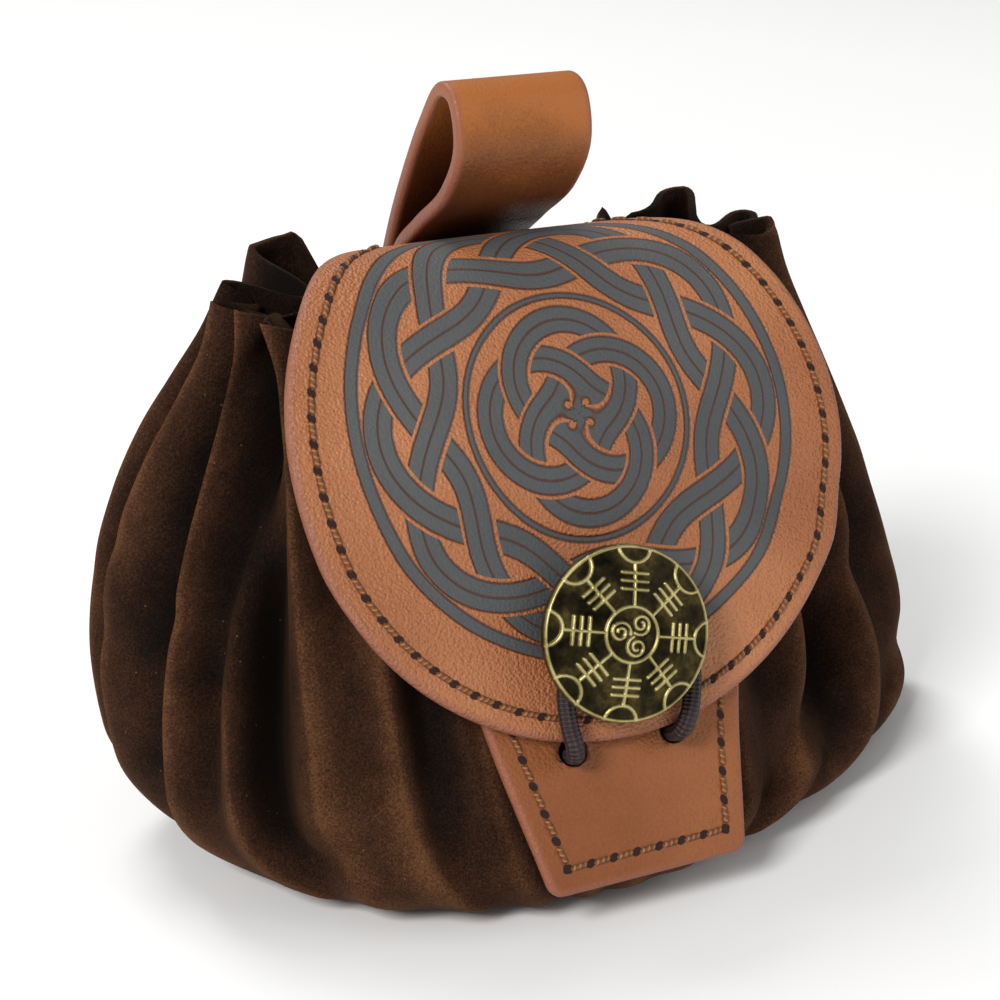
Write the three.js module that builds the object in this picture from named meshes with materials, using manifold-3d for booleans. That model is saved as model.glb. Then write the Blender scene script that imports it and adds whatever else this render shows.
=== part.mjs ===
// A gathered suede belt pouch: a pleated bag with an open mouth, a round leather flap that folds over the mouth
// from a panel on the back, a tapered tab on the front, a cast button on the flap, the cord that hooks the flap
// shut, and a strap loop for a belt on the back.
// Millimetres, +Z up, the front towards -Y, the origin in the middle of the flat base.
import * as THREE from "three";
import { mergeVertices } from "three/addons/utils/BufferGeometryUtils.js";
import Module from "manifold-3d";

const wasm = await Module();
wasm.setup();

// Driving dimensions.
const bagLeft = 78; // from the origin to the bag's widest on each side
const bagRight = 97.5;
const bagFront = 62;
const bagBack = 44;
const mouthHeight = 106;
const suede = 1.4;
const foldDepth = 13; // deepest valley between two pleats, at the mouth
const flapRadius = 53;
const flapLeather = 3;
const flapCrown = 0.8; // how far the flap's sides fall back from its middle
const flapDrop = 92.3; // from the fold's crest down to the flap's lower edge, along the leather
const panelHalfWidth = 26; // the neck over the fold and the panel on the back
const panelLength = 66; // from the fold's crest down the back
const panelCorner = 8;
const tabLeather = 2.4;
const tabStart = 5.5; // its lower end, along the leather from low on the front
const tabHalfWidth = 19.3; // at its lower end
const tabTaper = 0.2; // half width gained for each millimetre up
const tabLength = 49.5;
const tabShift = -0.7; // its middle, to the right from the flap's
const tabCorner = 2.2;
const strapWidth = 26.3;
const strapLeather = 2.8;
const strapRise = 38.3; // from where the strap leaves the panel to the top of its loop
const strapLean = 30; // how far forward the loop leans
const strapRootAt = 22; // its root, past the fold's crest along the leather
const panelMargin = 10; // from the strap's ends to the panel's lower edge
const buttonRadius = 15.2;
const buttonEdge = 1.6;
const buttonDome = 2.4;
const buttonRelief = 0.4;
const buttonLine = 0.5; // width of the cast lines
const buttonRise = 19.3; // its middle, up from the flap's lower edge
const buttonShift = -1.5;
const buttonTurn = 5; // degrees that it faces left
const buttonSpin = -14; // degrees that its pattern is turned
const postRadius = 2.4;
const screwRadius = 4.5;
const screwThickness = 0.9;
const cordRadius = 1.6;
const cordHoleRadius = 2.8;
const cordHoleSpacing = 20;
const cordHoleDrop = 0.5; // the holes' middle, down from the flap's lower edge
const knotRadius = 3.4;
const knotDepth = 9; // behind the line, inside the bag
const gap = 0.35; // between pieces that touch

const TAU = 2 * Math.PI;
const clamp = (value) => Math.min(1, Math.max(0, value));
const smooth = (value) => clamp(value) ** 2 * (3 - 2 * clamp(value));
const mix = (a, b, share) => a + (b - a) * share;

// A value down a table's column at a share of its rows, with no overshoot between rows.
function along(table, column, share) {
  const place = clamp(share) * (table.length - 1);
  const row = Math.min(Math.floor(place), table.length - 2);
  const value = (i) => {
    if (i < 0) return 2 * table[0][column] - table[1][column];
    return i < table.length ? table[i][column] : 2 * table.at(-1)[column] - table.at(-2)[column];
  };
  const slope = (i) => {
    const before = value(i) - value(i - 1);
    const after = value(i + 1) - value(i);
    return before * after <= 0 ? 0 : (2 * before * after) / (before + after);
  };
  const t = place - row;
  const [a, b] = [value(row), value(row + 1)];
  return (
    a * (1 + 2 * t) * (1 - t) ** 2 + b * t * t * (3 - 2 * t) +
    slope(row) * t * (1 - t) ** 2 + slope(row + 1) * t * t * (t - 1)
  );
}

// The bag's outer skin without its pleats, from the middle of the base to the rim. Level is a share of the mouth's
// height, the reaches are shares of the bag's four half sizes, and fold is the share of each pleat's depth.
const sections = [
  { level: 0.0, left: 0.0, right: 0.0, front: 0.0, back: 0.0, fold: 0.0 },
  { level: 0.0, left: 0.6, right: 0.79, front: 0.7, back: 0.7, fold: 0.0 },
  { level: 0.03, left: 0.79, right: 0.95, front: 0.92, back: 0.86, fold: 0.1 },
  { level: 0.1, left: 0.91, right: 1.0, front: 1.0, back: 0.95, fold: 0.28 },
  { level: 0.2, left: 0.98, right: 0.985, front: 0.94, back: 1.0, fold: 0.46 },
  { level: 0.35, left: 1.0, right: 0.93, front: 0.84, back: 1.0, fold: 0.6 },
  { level: 0.5, left: 0.98, right: 0.872, front: 0.765, back: 0.95, fold: 0.72 },
  { level: 0.62, left: 0.935, right: 0.812, front: 0.705, back: 0.88, fold: 0.8 },
  { level: 0.74, left: 0.86, right: 0.748, front: 0.65, back: 0.79, fold: 0.88 },
  { level: 0.83, left: 0.785, right: 0.699, front: 0.605, back: 0.72, fold: 0.94 },
  { level: 0.92, left: 0.715, right: 0.65, front: 0.575, back: 0.67, fold: 0.98 },
  { level: 1.0, left: 0.68, right: 0.62, front: 0.555, back: 0.64, fold: 1.0 },
];
// Exponents of the plan's outline on each side: 2 is an ellipse, and less is flatter between its ends.
const leftFullness = 2.3;
const rightFullness = 1.55;

// The pleats, in turns from the middle of the front towards the right. A column's four values hold at the four
// pleatLevels, and one value holds at all of them. Crest is the pleat's turn, valley is where the valley after it
// lies on the way to the next crest, depth is that valley's share of the fold's depth, sink is how far the crest
// itself lies in, and rise is how far the rim stands over the mouth's height there, as a share of it.
const pleatLevels = [0.2, 0.45, 0.7, 1];
const pleats = [
  { crest: 0.03, valley: 0.5, depth: 0.5, rise: 0 },
  { crest: [0.06, 0.075, 0.09, 0.085], valley: 0.5, depth: 0.6, rise: 0 },
  { crest: [0.085, 0.135, 0.14, 0.14], valley: [0.5, 0.5, 0.4, 0.4], depth: [0.7, 1.3, 1, 0.7], rise: 0 },
  { crest: [0.14, 0.19, 0.192, 0.185], valley: [0.5, 0.45, 0.4, 0.4],
    depth: [0.6, 0.8, 0.8, 0.8], rise: 0.005 },
  { crest: [0.2, 0.23, 0.23, 0.222], valley: 0.5, depth: 0.6, rise: 0.02 },
  { crest: [0.255, 0.262, 0.264, 0.263], valley: 0.5,
    depth: [0.8, 0.8, 0.8, 0.9], sink: [0, 0, 0, 0.05], rise: 0.005 },
  { crest: [0.3, 0.3, 0.297, 0.291], valley: 0.5, depth: [0.8, 0.8, 0.9, 1], rise: 0.04 },
  { crest: 0.35, valley: 0.5, depth: [0.7, 0.7, 0.8, 0.9], rise: 0.03 },
  { crest: [0.4, 0.405, 0.41, 0.41], valley: 0.5, depth: [0.6, 0.6, 0.6, 0.7], rise: 0.04 },
  { crest: [0.46, 0.465, 0.47, 0.47], valley: 0.5, depth: 0.5, rise: 0.09 },
  { crest: [0.54, 0.535, 0.53, 0.53], valley: 0.5, depth: 0.5, rise: 0.09 },
  { crest: [0.6, 0.595, 0.59, 0.59], valley: 0.5, depth: [0.6, 0.6, 0.5, 0.15], rise: 0.03 },
  { crest: [0.66, 0.66, 0.665, 0.675], valley: [0.55, 0.6, 0.6, 0.6],
    depth: [0.7, 0.8, 1, 1.2], sink: [0, 0, 0, 0.1], rise: 0.01 },
  { crest: [0.72, 0.727, 0.722, 0.718], valley: [0.6, 0.65, 0.65, 0.6],
    depth: [0.6, 0.8, 0.8, 0.6], sink: [0, 0, 0, 0.2], rise: -0.015 },
  { crest: [0.76, 0.75, 0.752, 0.74], valley: [0.6, 0.75, 0.8, 0.7],
    depth: [0.6, 1.2, 1.1, 0.8], rise: -0.04 },
  { crest: [0.79, 0.795, 0.794, 0.772], valley: [0.6, 0.6, 0.8, 0.8],
    depth: [0.3, 0.6, 0.2, 0], rise: -0.03 },
  { crest: [0.85, 0.82, 0.818, 0.784], valley: [0.35, 0.42, 0.8, 0.8],
    depth: [0.5, 1.6, 0.2, 0], sink: [0, 0, 0.8, 0.9], rise: -0.02 },
  { crest: [0.88, 0.852, 0.832, 0.792], valley: [0.5, 0.6, 0.7, 0.7],
    depth: [0.5, 0.2, 0.7, 0.7], rise: -0.04 },
  { crest: [0.92, 0.885, 0.86, 0.825], valley: [0.4, 0.35, 0.45, 0.6],
    depth: [0.6, 0.9, 0.7, 0.7], rise: -0.035 },
  { crest: [0.95, 0.925, 0.9, 0.865], valley: 0.5, depth: [0.6, 0.6, 0.6, 0.7], rise: -0.02 },
  { crest: [0.975, 0.96, 0.94, 0.915], valley: 0.5, depth: [0.5, 0.5, 0.5, 0.6], rise: -0.01 },
  { crest: [0.995, 0.99, 0.98, 0.97], valley: 0.5, depth: [0.4, 0.5, 0.5, 0.5], rise: 0 },
];
const pleatPinch = 0.6; // 1 brings a pleat's two walls parallel
const pleatRidge = { share: 0.35, from: 0.27, to: 0.93 }; // 1 makes a crest sharp; it grows between two rises
const valleyReach = { least: 0.2, most: 0.9 };

// Hollows that the suede slumps into below the folds: middle, half sizes, how far each leans, and depth.
const dents = [
  { turn: 0.866, rise: 0.31, halfTurn: 0.016, halfRise: 0.06, slope: 0.12, depth: 4 },
  { turn: 0.812, rise: 0.46, halfTurn: 0.008, halfRise: 0.07, slope: -0.06, depth: 2.5 },
  { turn: 0.874, rise: 0.42, halfTurn: 0.016, halfRise: 0.05, slope: -0.5, depth: 3 },
  { turn: 0.787, rise: 0.565, halfTurn: 0.016, halfRise: 0.05, slope: -0.65, depth: 2.5 },
  { turn: 0.756, rise: 0.49, halfTurn: 0.012, halfRise: 0.05, slope: -0.4, depth: 2 },
  { turn: 0.152, rise: 0.405, halfTurn: 0.022, halfRise: 0.09, slope: 0.5, depth: 4.5 },
  { turn: 0.208, rise: 0.3, halfTurn: 0.02, halfRise: 0.08, slope: 0.35, depth: 3 },
  { turn: 0.1, rise: 0.3, halfTurn: 0.016, halfRise: 0.07, slope: 0.4, depth: 2.5 },
];

// A smooth line through a pleat's four values.
function atLevels(values, rise) {
  if (!Array.isArray(values)) return values;
  const place = Math.min(Math.max(rise, pleatLevels[0]), pleatLevels.at(-1));
  return values.reduce((sum, value, i) => sum + pleatLevels.reduce((term, level, j) => (
    j === i ? term : (term * (place - level)) / (pleatLevels[i] - level)), value), 0);
}

const topOf = ({ crest }) => atLevels(crest, 1);

// How far the rim stands over the mouth's height at a turn.
function rimRise(turn) {
  const place = ((turn % 1) + 1) % 1;
  const i = pleats.findLastIndex((row) => topOf(row) <= place);
  const [row, next] = [pleats.at(i), pleats[(i + 1) % pleats.length]];
  const start = topOf(row) - (i < 0 ? 1 : 0);
  const end = topOf(next) + (i + 1 === pleats.length ? 1 : 0);
  return mix(row.rise, next.rise, smooth((place - start) / (end - start)));
}

function basePoint(turn, rise) {
  const angle = TAU * (turn - 0.25);
  const [c, s] = [Math.cos(angle), Math.sin(angle)];
  const wide = c < 0 ? bagLeft * along(sections, "left", rise) : bagRight * along(sections, "right", rise);
  const deep = s < 0 ? bagFront * along(sections, "front", rise) : bagBack * along(sections, "back", rise);
  const z = mouthHeight * along(sections, "level", rise) * (1 + rimRise(turn) * rise ** 3);
  const full = c < 0 ? leftFullness : rightFullness;
  const reach = ((Math.abs(c) / wide) ** full + (Math.abs(s) / deep) ** full) ** (-1 / full);
  return new THREE.Vector3(c * reach, s * reach, z);
}

function valleyPlace(row, rise) {
  return Math.min(Math.max(atLevels(row.valley, rise), valleyReach.least), valleyReach.most);
}

// A point of the outer skin at a share of the way from one crest to the next. A share just past either end is in
// the neighbouring pleat.
function pleatedPoint(index, share, rise) {
  if (share < 0) return pleatedPoint((index + pleats.length - 1) % pleats.length, share + 1, rise);
  if (share > 1) return pleatedPoint((index + 1) % pleats.length, share - 1, rise);
  const last = index + 1 === pleats.length;
  const [row, next] = [pleats[index], pleats[last ? 0 : index + 1]];
  const crest = atLevels(row.crest, rise);
  const pitch = atLevels(next.crest, rise) + (last ? 1 : 0) - crest;
  const place = valleyPlace(row, rise);
  const wave = share < place ? share / place : (1 - share) / (1 - place);
  const phase = Math.PI * (share < place ? wave : 2 - wave);
  const ridge = pleatRidge.share * smooth((rise - pleatRidge.from) / (pleatRidge.to - pleatRidge.from));
  const fold = along(sections, "fold", rise);
  const sink = mix(clamp(atLevels(row.sink ?? 0, rise)), clamp(atLevels(next.sink ?? 0, rise)), share);
  const deep = Math.max(atLevels(row.depth, rise), 0) * mix(smooth(wave), wave, ridge) + sink;
  const turn = crest + pitch * share;
  const bent = turn + ((pleatPinch * fold * pitch) / (2 * TAU)) * Math.sin(2 * phase);
  const step = 1e-3;
  const around = basePoint(bent + step, rise).sub(basePoint(bent - step, rise));
  const up = basePoint(bent, rise + step).sub(basePoint(bent, rise - step));
  const inset = dents.reduce((sum, dent) => {
    const aside = (turn - dent.turn - dent.slope * (rise - dent.rise)) / dent.halfTurn;
    return sum + dent.depth * Math.exp(-(aside ** 2) - ((rise - dent.rise) / dent.halfRise) ** 2);
  }, foldDepth * deep * fold);
  return basePoint(bent, rise).addScaledVector(around.cross(up).normalize(), -inset);
}

// The line that the leather lies along, in the middle plane: from low on the front, up and over the mouth, and down
// the back. Reach is a share of the bag's front in front of the origin and of its back behind it.
const leatherRows = [
  { reach: -1.01, level: 0.028 },
  { reach: -1.005, level: 0.066 },
  { reach: -0.956, level: 0.127 },
  { reach: -0.885, level: 0.203 },
  { reach: -0.811, level: 0.288 },
  { reach: -0.692, level: 0.472 },
  { reach: -0.605, level: 0.662 },
  { reach: -0.508, level: 0.779 },
  { reach: -0.39, level: 0.887 },
  { reach: -0.324, level: 0.938 },
  { reach: -0.255, level: 0.977 },
  { reach: -0.169, level: 1.0 },
  { reach: -0.076, level: 1.003 },
  { reach: 0.027, level: 0.989 },
  { reach: 0.15, level: 0.961 },
  { reach: 0.295, level: 0.887 },
  { reach: 0.41, level: 0.792 },
  { reach: 0.523, level: 0.679 },
  { reach: 0.614, level: 0.547 },
  { reach: 0.68, level: 0.415 },
  { reach: 0.727, level: 0.32 },
];
const leatherLine = new THREE.CatmullRomCurve3(
  leatherRows.map(({ reach, level }) =>
    new THREE.Vector3(0, reach * (reach < 0 ? bagFront : bagBack), level * mouthHeight)),
  false, "centripetal");
const lineLength = leatherLine.getLength();
const lineSamples = 240;
const linePlaces = Array.from({ length: lineSamples + 1 }, (_, i) => {
  const point = leatherLine.getPointAt(i / lineSamples);
  const tangent = leatherLine.getTangentAt(i / lineSamples);
  return { at: (i / lineSamples) * lineLength, point, tangent, out: new THREE.Vector3(0, -tangent.z, tangent.y) };
});
const placeOnLine = (at) => {
  const share = clamp(at / lineLength);
  const point = leatherLine.getPointAt(share);
  const tangent = leatherLine.getTangentAt(share);
  return { point, tangent, out: new THREE.Vector3(0, -tangent.z, tangent.y) };
};
const crownAt = (x) => flapCrown * (x / flapRadius) ** 2;

// Stations along the line, each a length from its lower front end.
const highest = linePlaces.reduce((best, place) => (place.point.z > best.point.z ? place : best));
const tabEnd = tabStart + tabLength;
const panelEnd = highest.at + panelLength;
const flapStart = highest.at - flapDrop;
const flapMiddle = flapStart + flapRadius;
const buttonAt = flapStart + buttonRise;
const cordHoleAt = flapStart - cordHoleDrop;

function flapHalfWidth(at) {
  const circle = flapRadius ** 2 - (at - flapMiddle) ** 2;
  const round = circle > 0 ? Math.sqrt(circle) : 0;
  if (at < flapMiddle) return round;
  const past = at - (panelEnd - panelCorner);
  const rounding = past > 0 ? panelCorner - Math.sqrt(Math.max(panelCorner ** 2 - past ** 2, 0)) : 0;
  const neck = panelHalfWidth - rounding;
  return at < flapMiddle + flapRadius ? Math.max(round, neck) : neck;
}

function tabHalfWidthAt(at) {
  const past = tabStart + tabCorner - at;
  const rounding = past > 0 ? tabCorner - Math.sqrt(Math.max(tabCorner ** 2 - past ** 2, 0)) : 0;
  return tabHalfWidth + tabTaper * (at - tabStart) - rounding;
}

// How far above the line the flap's underside lies: it passes over the tab, and settles past the tab's upper end.
const settleLength = 12;
const flapLift = (at) => gap + (tabLeather + gap) * (1 - smooth((at - tabEnd - 1) / settleLength));

// Leather presses the pleats flat under it. The push fades out beside its edges, sooner on the back.
const pressReach = 8; // along the line, how far past an edge it is still felt
const pressMargin = { front: 4, back: 3 }; // beside an edge, where it is still felt in full
const pressFade = { front: 14, back: 4 }; // beside that, where it fades out
const pressBlend = 12; // along the line, from the front's values to the back's

function pressed(point, under) {
  let nearest = linePlaces[0];
  let least = Infinity;
  for (const place of linePlaces) {
    const away = (place.point.y - point.y) ** 2 + (place.point.z - point.z) ** 2;
    if (away < least) [nearest, least] = [place, away];
  }
  const { at, out } = nearest;
  const above = new THREE.Vector3().subVectors(point, nearest.point).dot(out) + crownAt(point.x) + under;
  if (above <= 0) return point;
  const backShare = smooth((at - highest.at) / pressBlend + 0.25);
  const [margin, fade] = [pressMargin, pressFade].map(({ front, back }) => mix(front, back, backShare));
  const widest = at > flapStart - pressReach
    ? Math.max(flapHalfWidth(at - pressReach), flapHalfWidth(Math.min(at + pressReach, panelEnd))) : 0;
  const flapHalf = mix(widest, Math.min(widest, panelHalfWidth), backShare);
  const tabHalf = at < tabEnd ? tabHalfWidthAt(at) + Math.abs(tabShift) : 0;
  const weight = 1 - smooth((Math.abs(point.x) - Math.max(flapHalf, tabHalf) - margin) / fade);
  return point.clone().addScaledVector(out, -above * weight);
}

// The outer skin stays a gap under the leather's line, and the inner one a wall's thickness further.
const skinPoint = (index, share, rise) => pressed(pleatedPoint(index, share, rise), gap);

function innerPoint(index, share, rise) {
  const [dShare, dRise] = [0.02, 4e-3];
  const high = Math.min(rise + dRise, 1);
  const around = pleatedPoint(index, share + dShare, rise).sub(pleatedPoint(index, share - dShare, rise));
  const up = pleatedPoint(index, share, high).sub(pleatedPoint(index, share, high - 2 * dRise));
  const point = pleatedPoint(index, share, rise).addScaledVector(around.cross(up).normalize(), -suede);
  return pressed(point, gap + suede);
}

// Geometry from rings of points, each ring joined to the next, and each end closed by a fan round its middle.
function ringsGeometry(rings) {
  const points = [];
  const triangles = [];
  const n = rings[0].length;
  for (const ring of rings) for (const p of ring) points.push(p.x, p.y, p.z);
  for (let i = 0; i + 1 < rings.length; i += 1) {
    const [a, b] = [i * n, (i + 1) * n];
    for (let j = 0; j < n; j += 1) {
      const k = (j + 1) % n;
      triangles.push(a + j, a + k, b + k, a + j, b + k, b + j);
    }
  }
  const fan = (ring, start, flipped) => {
    const middle = ring.reduce((sum, p) => sum.add(p), new THREE.Vector3()).divideScalar(n);
    const centre = points.length / 3;
    points.push(middle.x, middle.y, middle.z);
    for (let j = 0; j < n; j += 1) {
      const k = (j + 1) % n;
      triangles.push(centre, start + (flipped ? k : j), start + (flipped ? j : k));
    }
  };
  fan(rings[0], 0, true);
  fan(rings.at(-1), (rings.length - 1) * n, false);
  const geometry = new THREE.BufferGeometry();
  geometry.setAttribute("position", new THREE.Float32BufferAttribute(points, 3));
  geometry.setIndex(triangles);
  return geometry;
}

// A three.js geometry as a manifold solid, and back.
function solidOf(geometry, matrix = new THREE.Matrix4()) {
  const bare = geometry.clone().applyMatrix4(matrix);
  for (const name of Object.keys(bare.attributes)) if (name !== "position") bare.deleteAttribute(name);
  const merged = mergeVertices(bare, 1e-3);
  return new wasm.Manifold(new wasm.Mesh({
    numProp: 3,
    vertProperties: merged.attributes.position.array,
    triVerts: new Uint32Array(merged.index.array),
  }));
}

function geometryOf(solid) {
  const { vertProperties, triVerts } = solid.getMesh();
  const geometry = new THREE.BufferGeometry();
  geometry.setAttribute("position", new THREE.BufferAttribute(vertProperties, 3));
  geometry.setIndex(new THREE.BufferAttribute(triVerts, 1));
  return geometry;
}

// Bag: the outer skin up to the rim, and the inner skin back down. Each pleat's columns stand at shares of the way
// from its crest to its valley, and on to the next crest, all the way down.
const pleatColumns = [0, 0.45, 0.8, 1, 1.5];
const skinRises = [1 / (sections.length - 1), 0.16, 0.24, 0.33, 0.43, 0.53, 0.63, 0.73, 0.83, 0.91, 1];

function bagSolid() {
  const ring = (rise, skin) => pleats.flatMap((row, index) => pleatColumns.map((column) => {
    const place = valleyPlace(row, rise);
    const share = column < 1 ? column * place : mix(place, 1, column - 1);
    return skin(index, share, rise);
  }));
  const outer = skinRises.map((rise) => ring(rise, skinPoint));
  const inner = skinRises.map((rise) => ring(rise, innerPoint)).reverse();
  return solidOf(ringsGeometry([...outer, ...inner]));
}

// Leather sheet: sections across the line, each a flat band with a rounded edge. Stretches give the stations, each
// as the place that it runs to and its number of steps, which crowd towards a rounded start or end.
function sheetGeometry({ from, stretches, halfWidth, lift, thickness, shift = 0, across }) {
  const stations = [from];
  for (const { to, steps, crowd } of stretches) {
    const start = stations.at(-1);
    for (let i = 1; i <= steps; i += 1) {
      const turn = (Math.PI / 2) * (i / steps);
      const share = { start: 1 - Math.cos(turn), end: Math.sin(turn) }[crowd] ?? i / steps;
      stations.push(mix(start, to, share));
    }
  }
  const round = thickness * 0.3;
  const rings = stations.map((at) => {
    const place = placeOnLine(at);
    const half = Math.max(halfWidth(at), 2 * thickness);
    const surface = (x, height) => new THREE.Vector3(x + shift, 0, 0).add(place.point)
      .addScaledVector(place.out, lift(at) + height - crownAt(x + shift));
    const ring = [];
    for (let j = across; j >= 0; j -= 1) {
      ring.push(surface(mix(-half + round, half - round, j / across), 0));
    }
    ring.push(surface(-half, thickness * 0.35), surface(-half, thickness * 0.65));
    for (let j = 0; j <= across; j += 1) {
      ring.push(surface(mix(-half + round, half - round, j / across), thickness));
    }
    ring.push(surface(half, thickness * 0.65), surface(half, thickness * 0.35));
    return ring;
  });
  return ringsGeometry(rings);
}

// The frame that a piece on the flap is set in: +Z away from the leather, +Y up along it.
function frameOnLine(at, x, height) {
  const { point, tangent, out } = placeOnLine(at);
  const sideways = new THREE.Vector3(1, 0, 0);
  const place = point.clone().setX(x).addScaledVector(out, height - crownAt(x));
  return new THREE.Matrix4().makeBasis(sideways, tangent, out).setPosition(place);
}

const flapTop = flapLift(buttonAt) + flapLeather;
const tilt = THREE.MathUtils.degToRad(buttonTurn);
const buttonFrame = frameOnLine(buttonAt, buttonShift, flapTop)
  .multiply(new THREE.Matrix4().makeRotationY(-tilt))
  .multiply(new THREE.Matrix4().makeRotationZ(THREE.MathUtils.degToRad(buttonSpin)));
// The cord passes between the flap and the button's head.
const headBack = 2 * cordRadius + 2 * gap + buttonRadius * Math.sin(tilt);

// Button: a lathed post and domed head, with the cast lines standing on the dome.
function buttonSolid() {
  const sides = 24;
  const edge = headBack + buttonEdge;
  const domeAt = (radius, rise) => edge + rise + buttonDome * (1 - (radius / buttonRadius) ** 2);
  const rows = 3;
  const dome = (rise) => Array.from({ length: rows + 1 }, (_, i) => {
    const radius = buttonRadius * Math.sqrt(1 - (i / rows) ** 2);
    return new THREE.Vector2(i === rows ? 0 : radius - 0.3 * (i === 0), domeAt(radius, rise));
  });
  const lathe = (profile) => solidOf(
    new THREE.LatheGeometry(profile, sides), new THREE.Matrix4().makeRotationX(Math.PI / 2));
  const foot = -flapLeather + screwThickness + gap;
  const body = lathe([
    new THREE.Vector2(0, foot),
    new THREE.Vector2(postRadius, foot),
    new THREE.Vector2(postRadius, headBack),
    new THREE.Vector2(buttonRadius - 0.5, headBack),
    new THREE.Vector2(buttonRadius, headBack + 0.5),
    new THREE.Vector2(buttonRadius, edge),
    ...dome(0),
  ]);
  const raised = lathe([
    new THREE.Vector2(0, headBack + 0.6),
    new THREE.Vector2(buttonRadius - 0.3, headBack + 0.6),
    ...dome(buttonRelief),
  ]);
  return body.add(raised.intersect(castLines()));
}

// The cast pattern as upright prisms: eight spokes with bars and rim arcs, two rings and a three-armed spiral, all
// as shares of the button's radius.
const pattern = {
  rim: 0.98, ring: 0.312, arc: 0.8, arcWide: 0.2, bars: [0.504, 0.594, 0.684], barHalf: 0.155,
  eye: 0.125, eyePlace: 0.15, eyeTurns: 1.5, eyeAngle: 54,
};

function castLines() {
  const [width, tall] = [buttonLine, headBack + buttonEdge + 2 * buttonDome];
  const strip = (points) => {
    const left = [];
    const right = [];
    points.forEach((p, i) => {
      const [a, b] = [points[Math.max(i - 1, 0)], points[Math.min(i + 1, points.length - 1)]];
      const across = new THREE.Vector2(-(b.y - a.y), b.x - a.x).setLength(width / 2);
      left.push(p.clone().add(across));
      right.unshift(p.clone().sub(across));
    });
    return solidOf(new THREE.ExtrudeGeometry(new THREE.Shape([...left, ...right]),
      { depth: tall, bevelEnabled: false, steps: 1 }));
  };
  const ring = (radius) => {
    const shape = new THREE.Shape().absarc(0, 0, radius + width / 2, 0, TAU);
    shape.holes.push(new THREE.Path().absarc(0, 0, radius - width / 2, 0, TAU));
    return solidOf(new THREE.ExtrudeGeometry(shape, { depth: tall, bevelEnabled: false, curveSegments: 12 }));
  };
  const polar = (radius, angle) => new THREE.Vector2(radius * Math.cos(angle), radius * Math.sin(angle));
  const { rim, ring: ringShare, arc: arcShare, arcWide, bars, barHalf, eye, eyePlace, eyeTurns, eyeAngle } = pattern;
  const pieces = [ring(buttonRadius * rim), ring(buttonRadius * ringShare)];
  const spokes = 8;
  for (let i = 0; i < spokes; i += 1) {
    const angle = (TAU * i) / spokes;
    const out = polar(1, angle);
    const side = polar(1, angle + TAU / 4);
    const at = (along, aside) => out.clone().multiplyScalar(along * buttonRadius)
      .addScaledVector(side, aside * buttonRadius);
    pieces.push(strip([at(ringShare, 0), at(arcShare, 0)]));
    for (const bar of bars) pieces.push(strip([at(bar, -barHalf), at(bar, barHalf)]));
    const arc = Array.from({ length: 5 }, (_, k) => mix(-1, 1, k / 4) * (TAU / 4));
    pieces.push(strip(arc.map((turn) => at(1 - (1 - arcShare) * Math.cos(turn), arcWide * Math.sin(turn)))));
  }
  const arms = 3;
  for (let i = 0; i < arms; i += 1) {
    const angle = (TAU * i) / arms + THREE.MathUtils.degToRad(eyeAngle);
    const steps = 9;
    const centre = polar(buttonRadius * eyePlace, angle);
    const curl = Array.from({ length: steps }, (_, k) => {
      const share = k / (steps - 1);
      const reach = buttonRadius * eye * (1 - 0.75 * share);
      return centre.clone().add(polar(reach, angle + Math.PI + eyeTurns * TAU * share));
    });
    pieces.push(strip(curl));
  }
  return pieces.reduce((sum, piece) => sum.add(piece));
}

// Cord: up from the tab's two holes, over the flap's edge and round the button's post. Across is a share of the
// holes' half spacing from the tab's middle, up is a share of the post's height over the holes, and above is a share
// of the height over the line at which the cord rests on the flap.
const cordFront = [
  { across: -1, up: -0.035, above: -0.62 },
  { across: -1, up: -0.035, above: 0 },
  { across: -1.06, up: -0.035, above: 0.45 },
  { across: -1.16, up: -0.01, above: 0.85 },
  { across: -1.23, up: 0.1, above: 1.05 },
  { across: -1.27, up: 0.27, above: 1.07 },
  { across: -1.22, up: 0.58, above: 1.05 },
  { across: -0.98, up: 0.915, above: 1.04 },
  { across: -0.52, up: 1.15, above: 1.04 },
  { across: -0.05, up: 1.235, above: 1.04 },
  { across: 0.45, up: 1.15, above: 1.04 },
  { across: 0.98, up: 0.915, above: 1.04 },
  { across: 1.24, up: 0.58, above: 1.05 },
  { across: 1.14, up: 0.27, above: 1.07 },
  { across: 1, up: 0.09, above: 1.05 },
  { across: 0.93, up: -0.01, above: 0.85 },
  { across: 0.95, up: -0.035, above: 0.45 },
  { across: 1, up: -0.035, above: 0 },
  { across: 1, up: -0.035, above: -0.62 },
];

function cordPoints() {
  const rest = 3 * gap + tabLeather + flapLeather + cordRadius;
  const front = cordFront.map(({ across, up, above }) => {
    const { point, out } = placeOnLine(mix(cordHoleAt, buttonAt, up));
    const x = (across * cordHoleSpacing) / 2 + tabShift;
    return point.clone().setX(x).addScaledVector(out, above * rest - crownAt(x));
  });
  const { point, out } = placeOnLine(cordHoleAt);
  const knot = point.clone().setX(tabShift).addScaledVector(out, -knotDepth);
  const bend = (end) => knot.clone().lerp(end, 0.62).addScaledVector(out, -0.2 * knotDepth);
  return [knot, bend(front[0]), ...front, bend(front.at(-1)), knot];
}

// Cord: a loop whose two ends meet in a knot behind the tab's holes.
function cordSolid(radius, knot) {
  const curve = new THREE.CatmullRomCurve3(cordPoints(), false, "centripetal");
  const section = new THREE.Shape().absarc(0, 0, radius, 0, TAU);
  const tube = new THREE.ExtrudeGeometry(section, { extrudePath: curve, steps: 44, curveSegments: 4 });
  const ball = new THREE.SphereGeometry(knot, 10, 6).translate(...curve.getPoint(0).toArray());
  return solidOf(tube).add(solidOf(ball));
}

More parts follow.
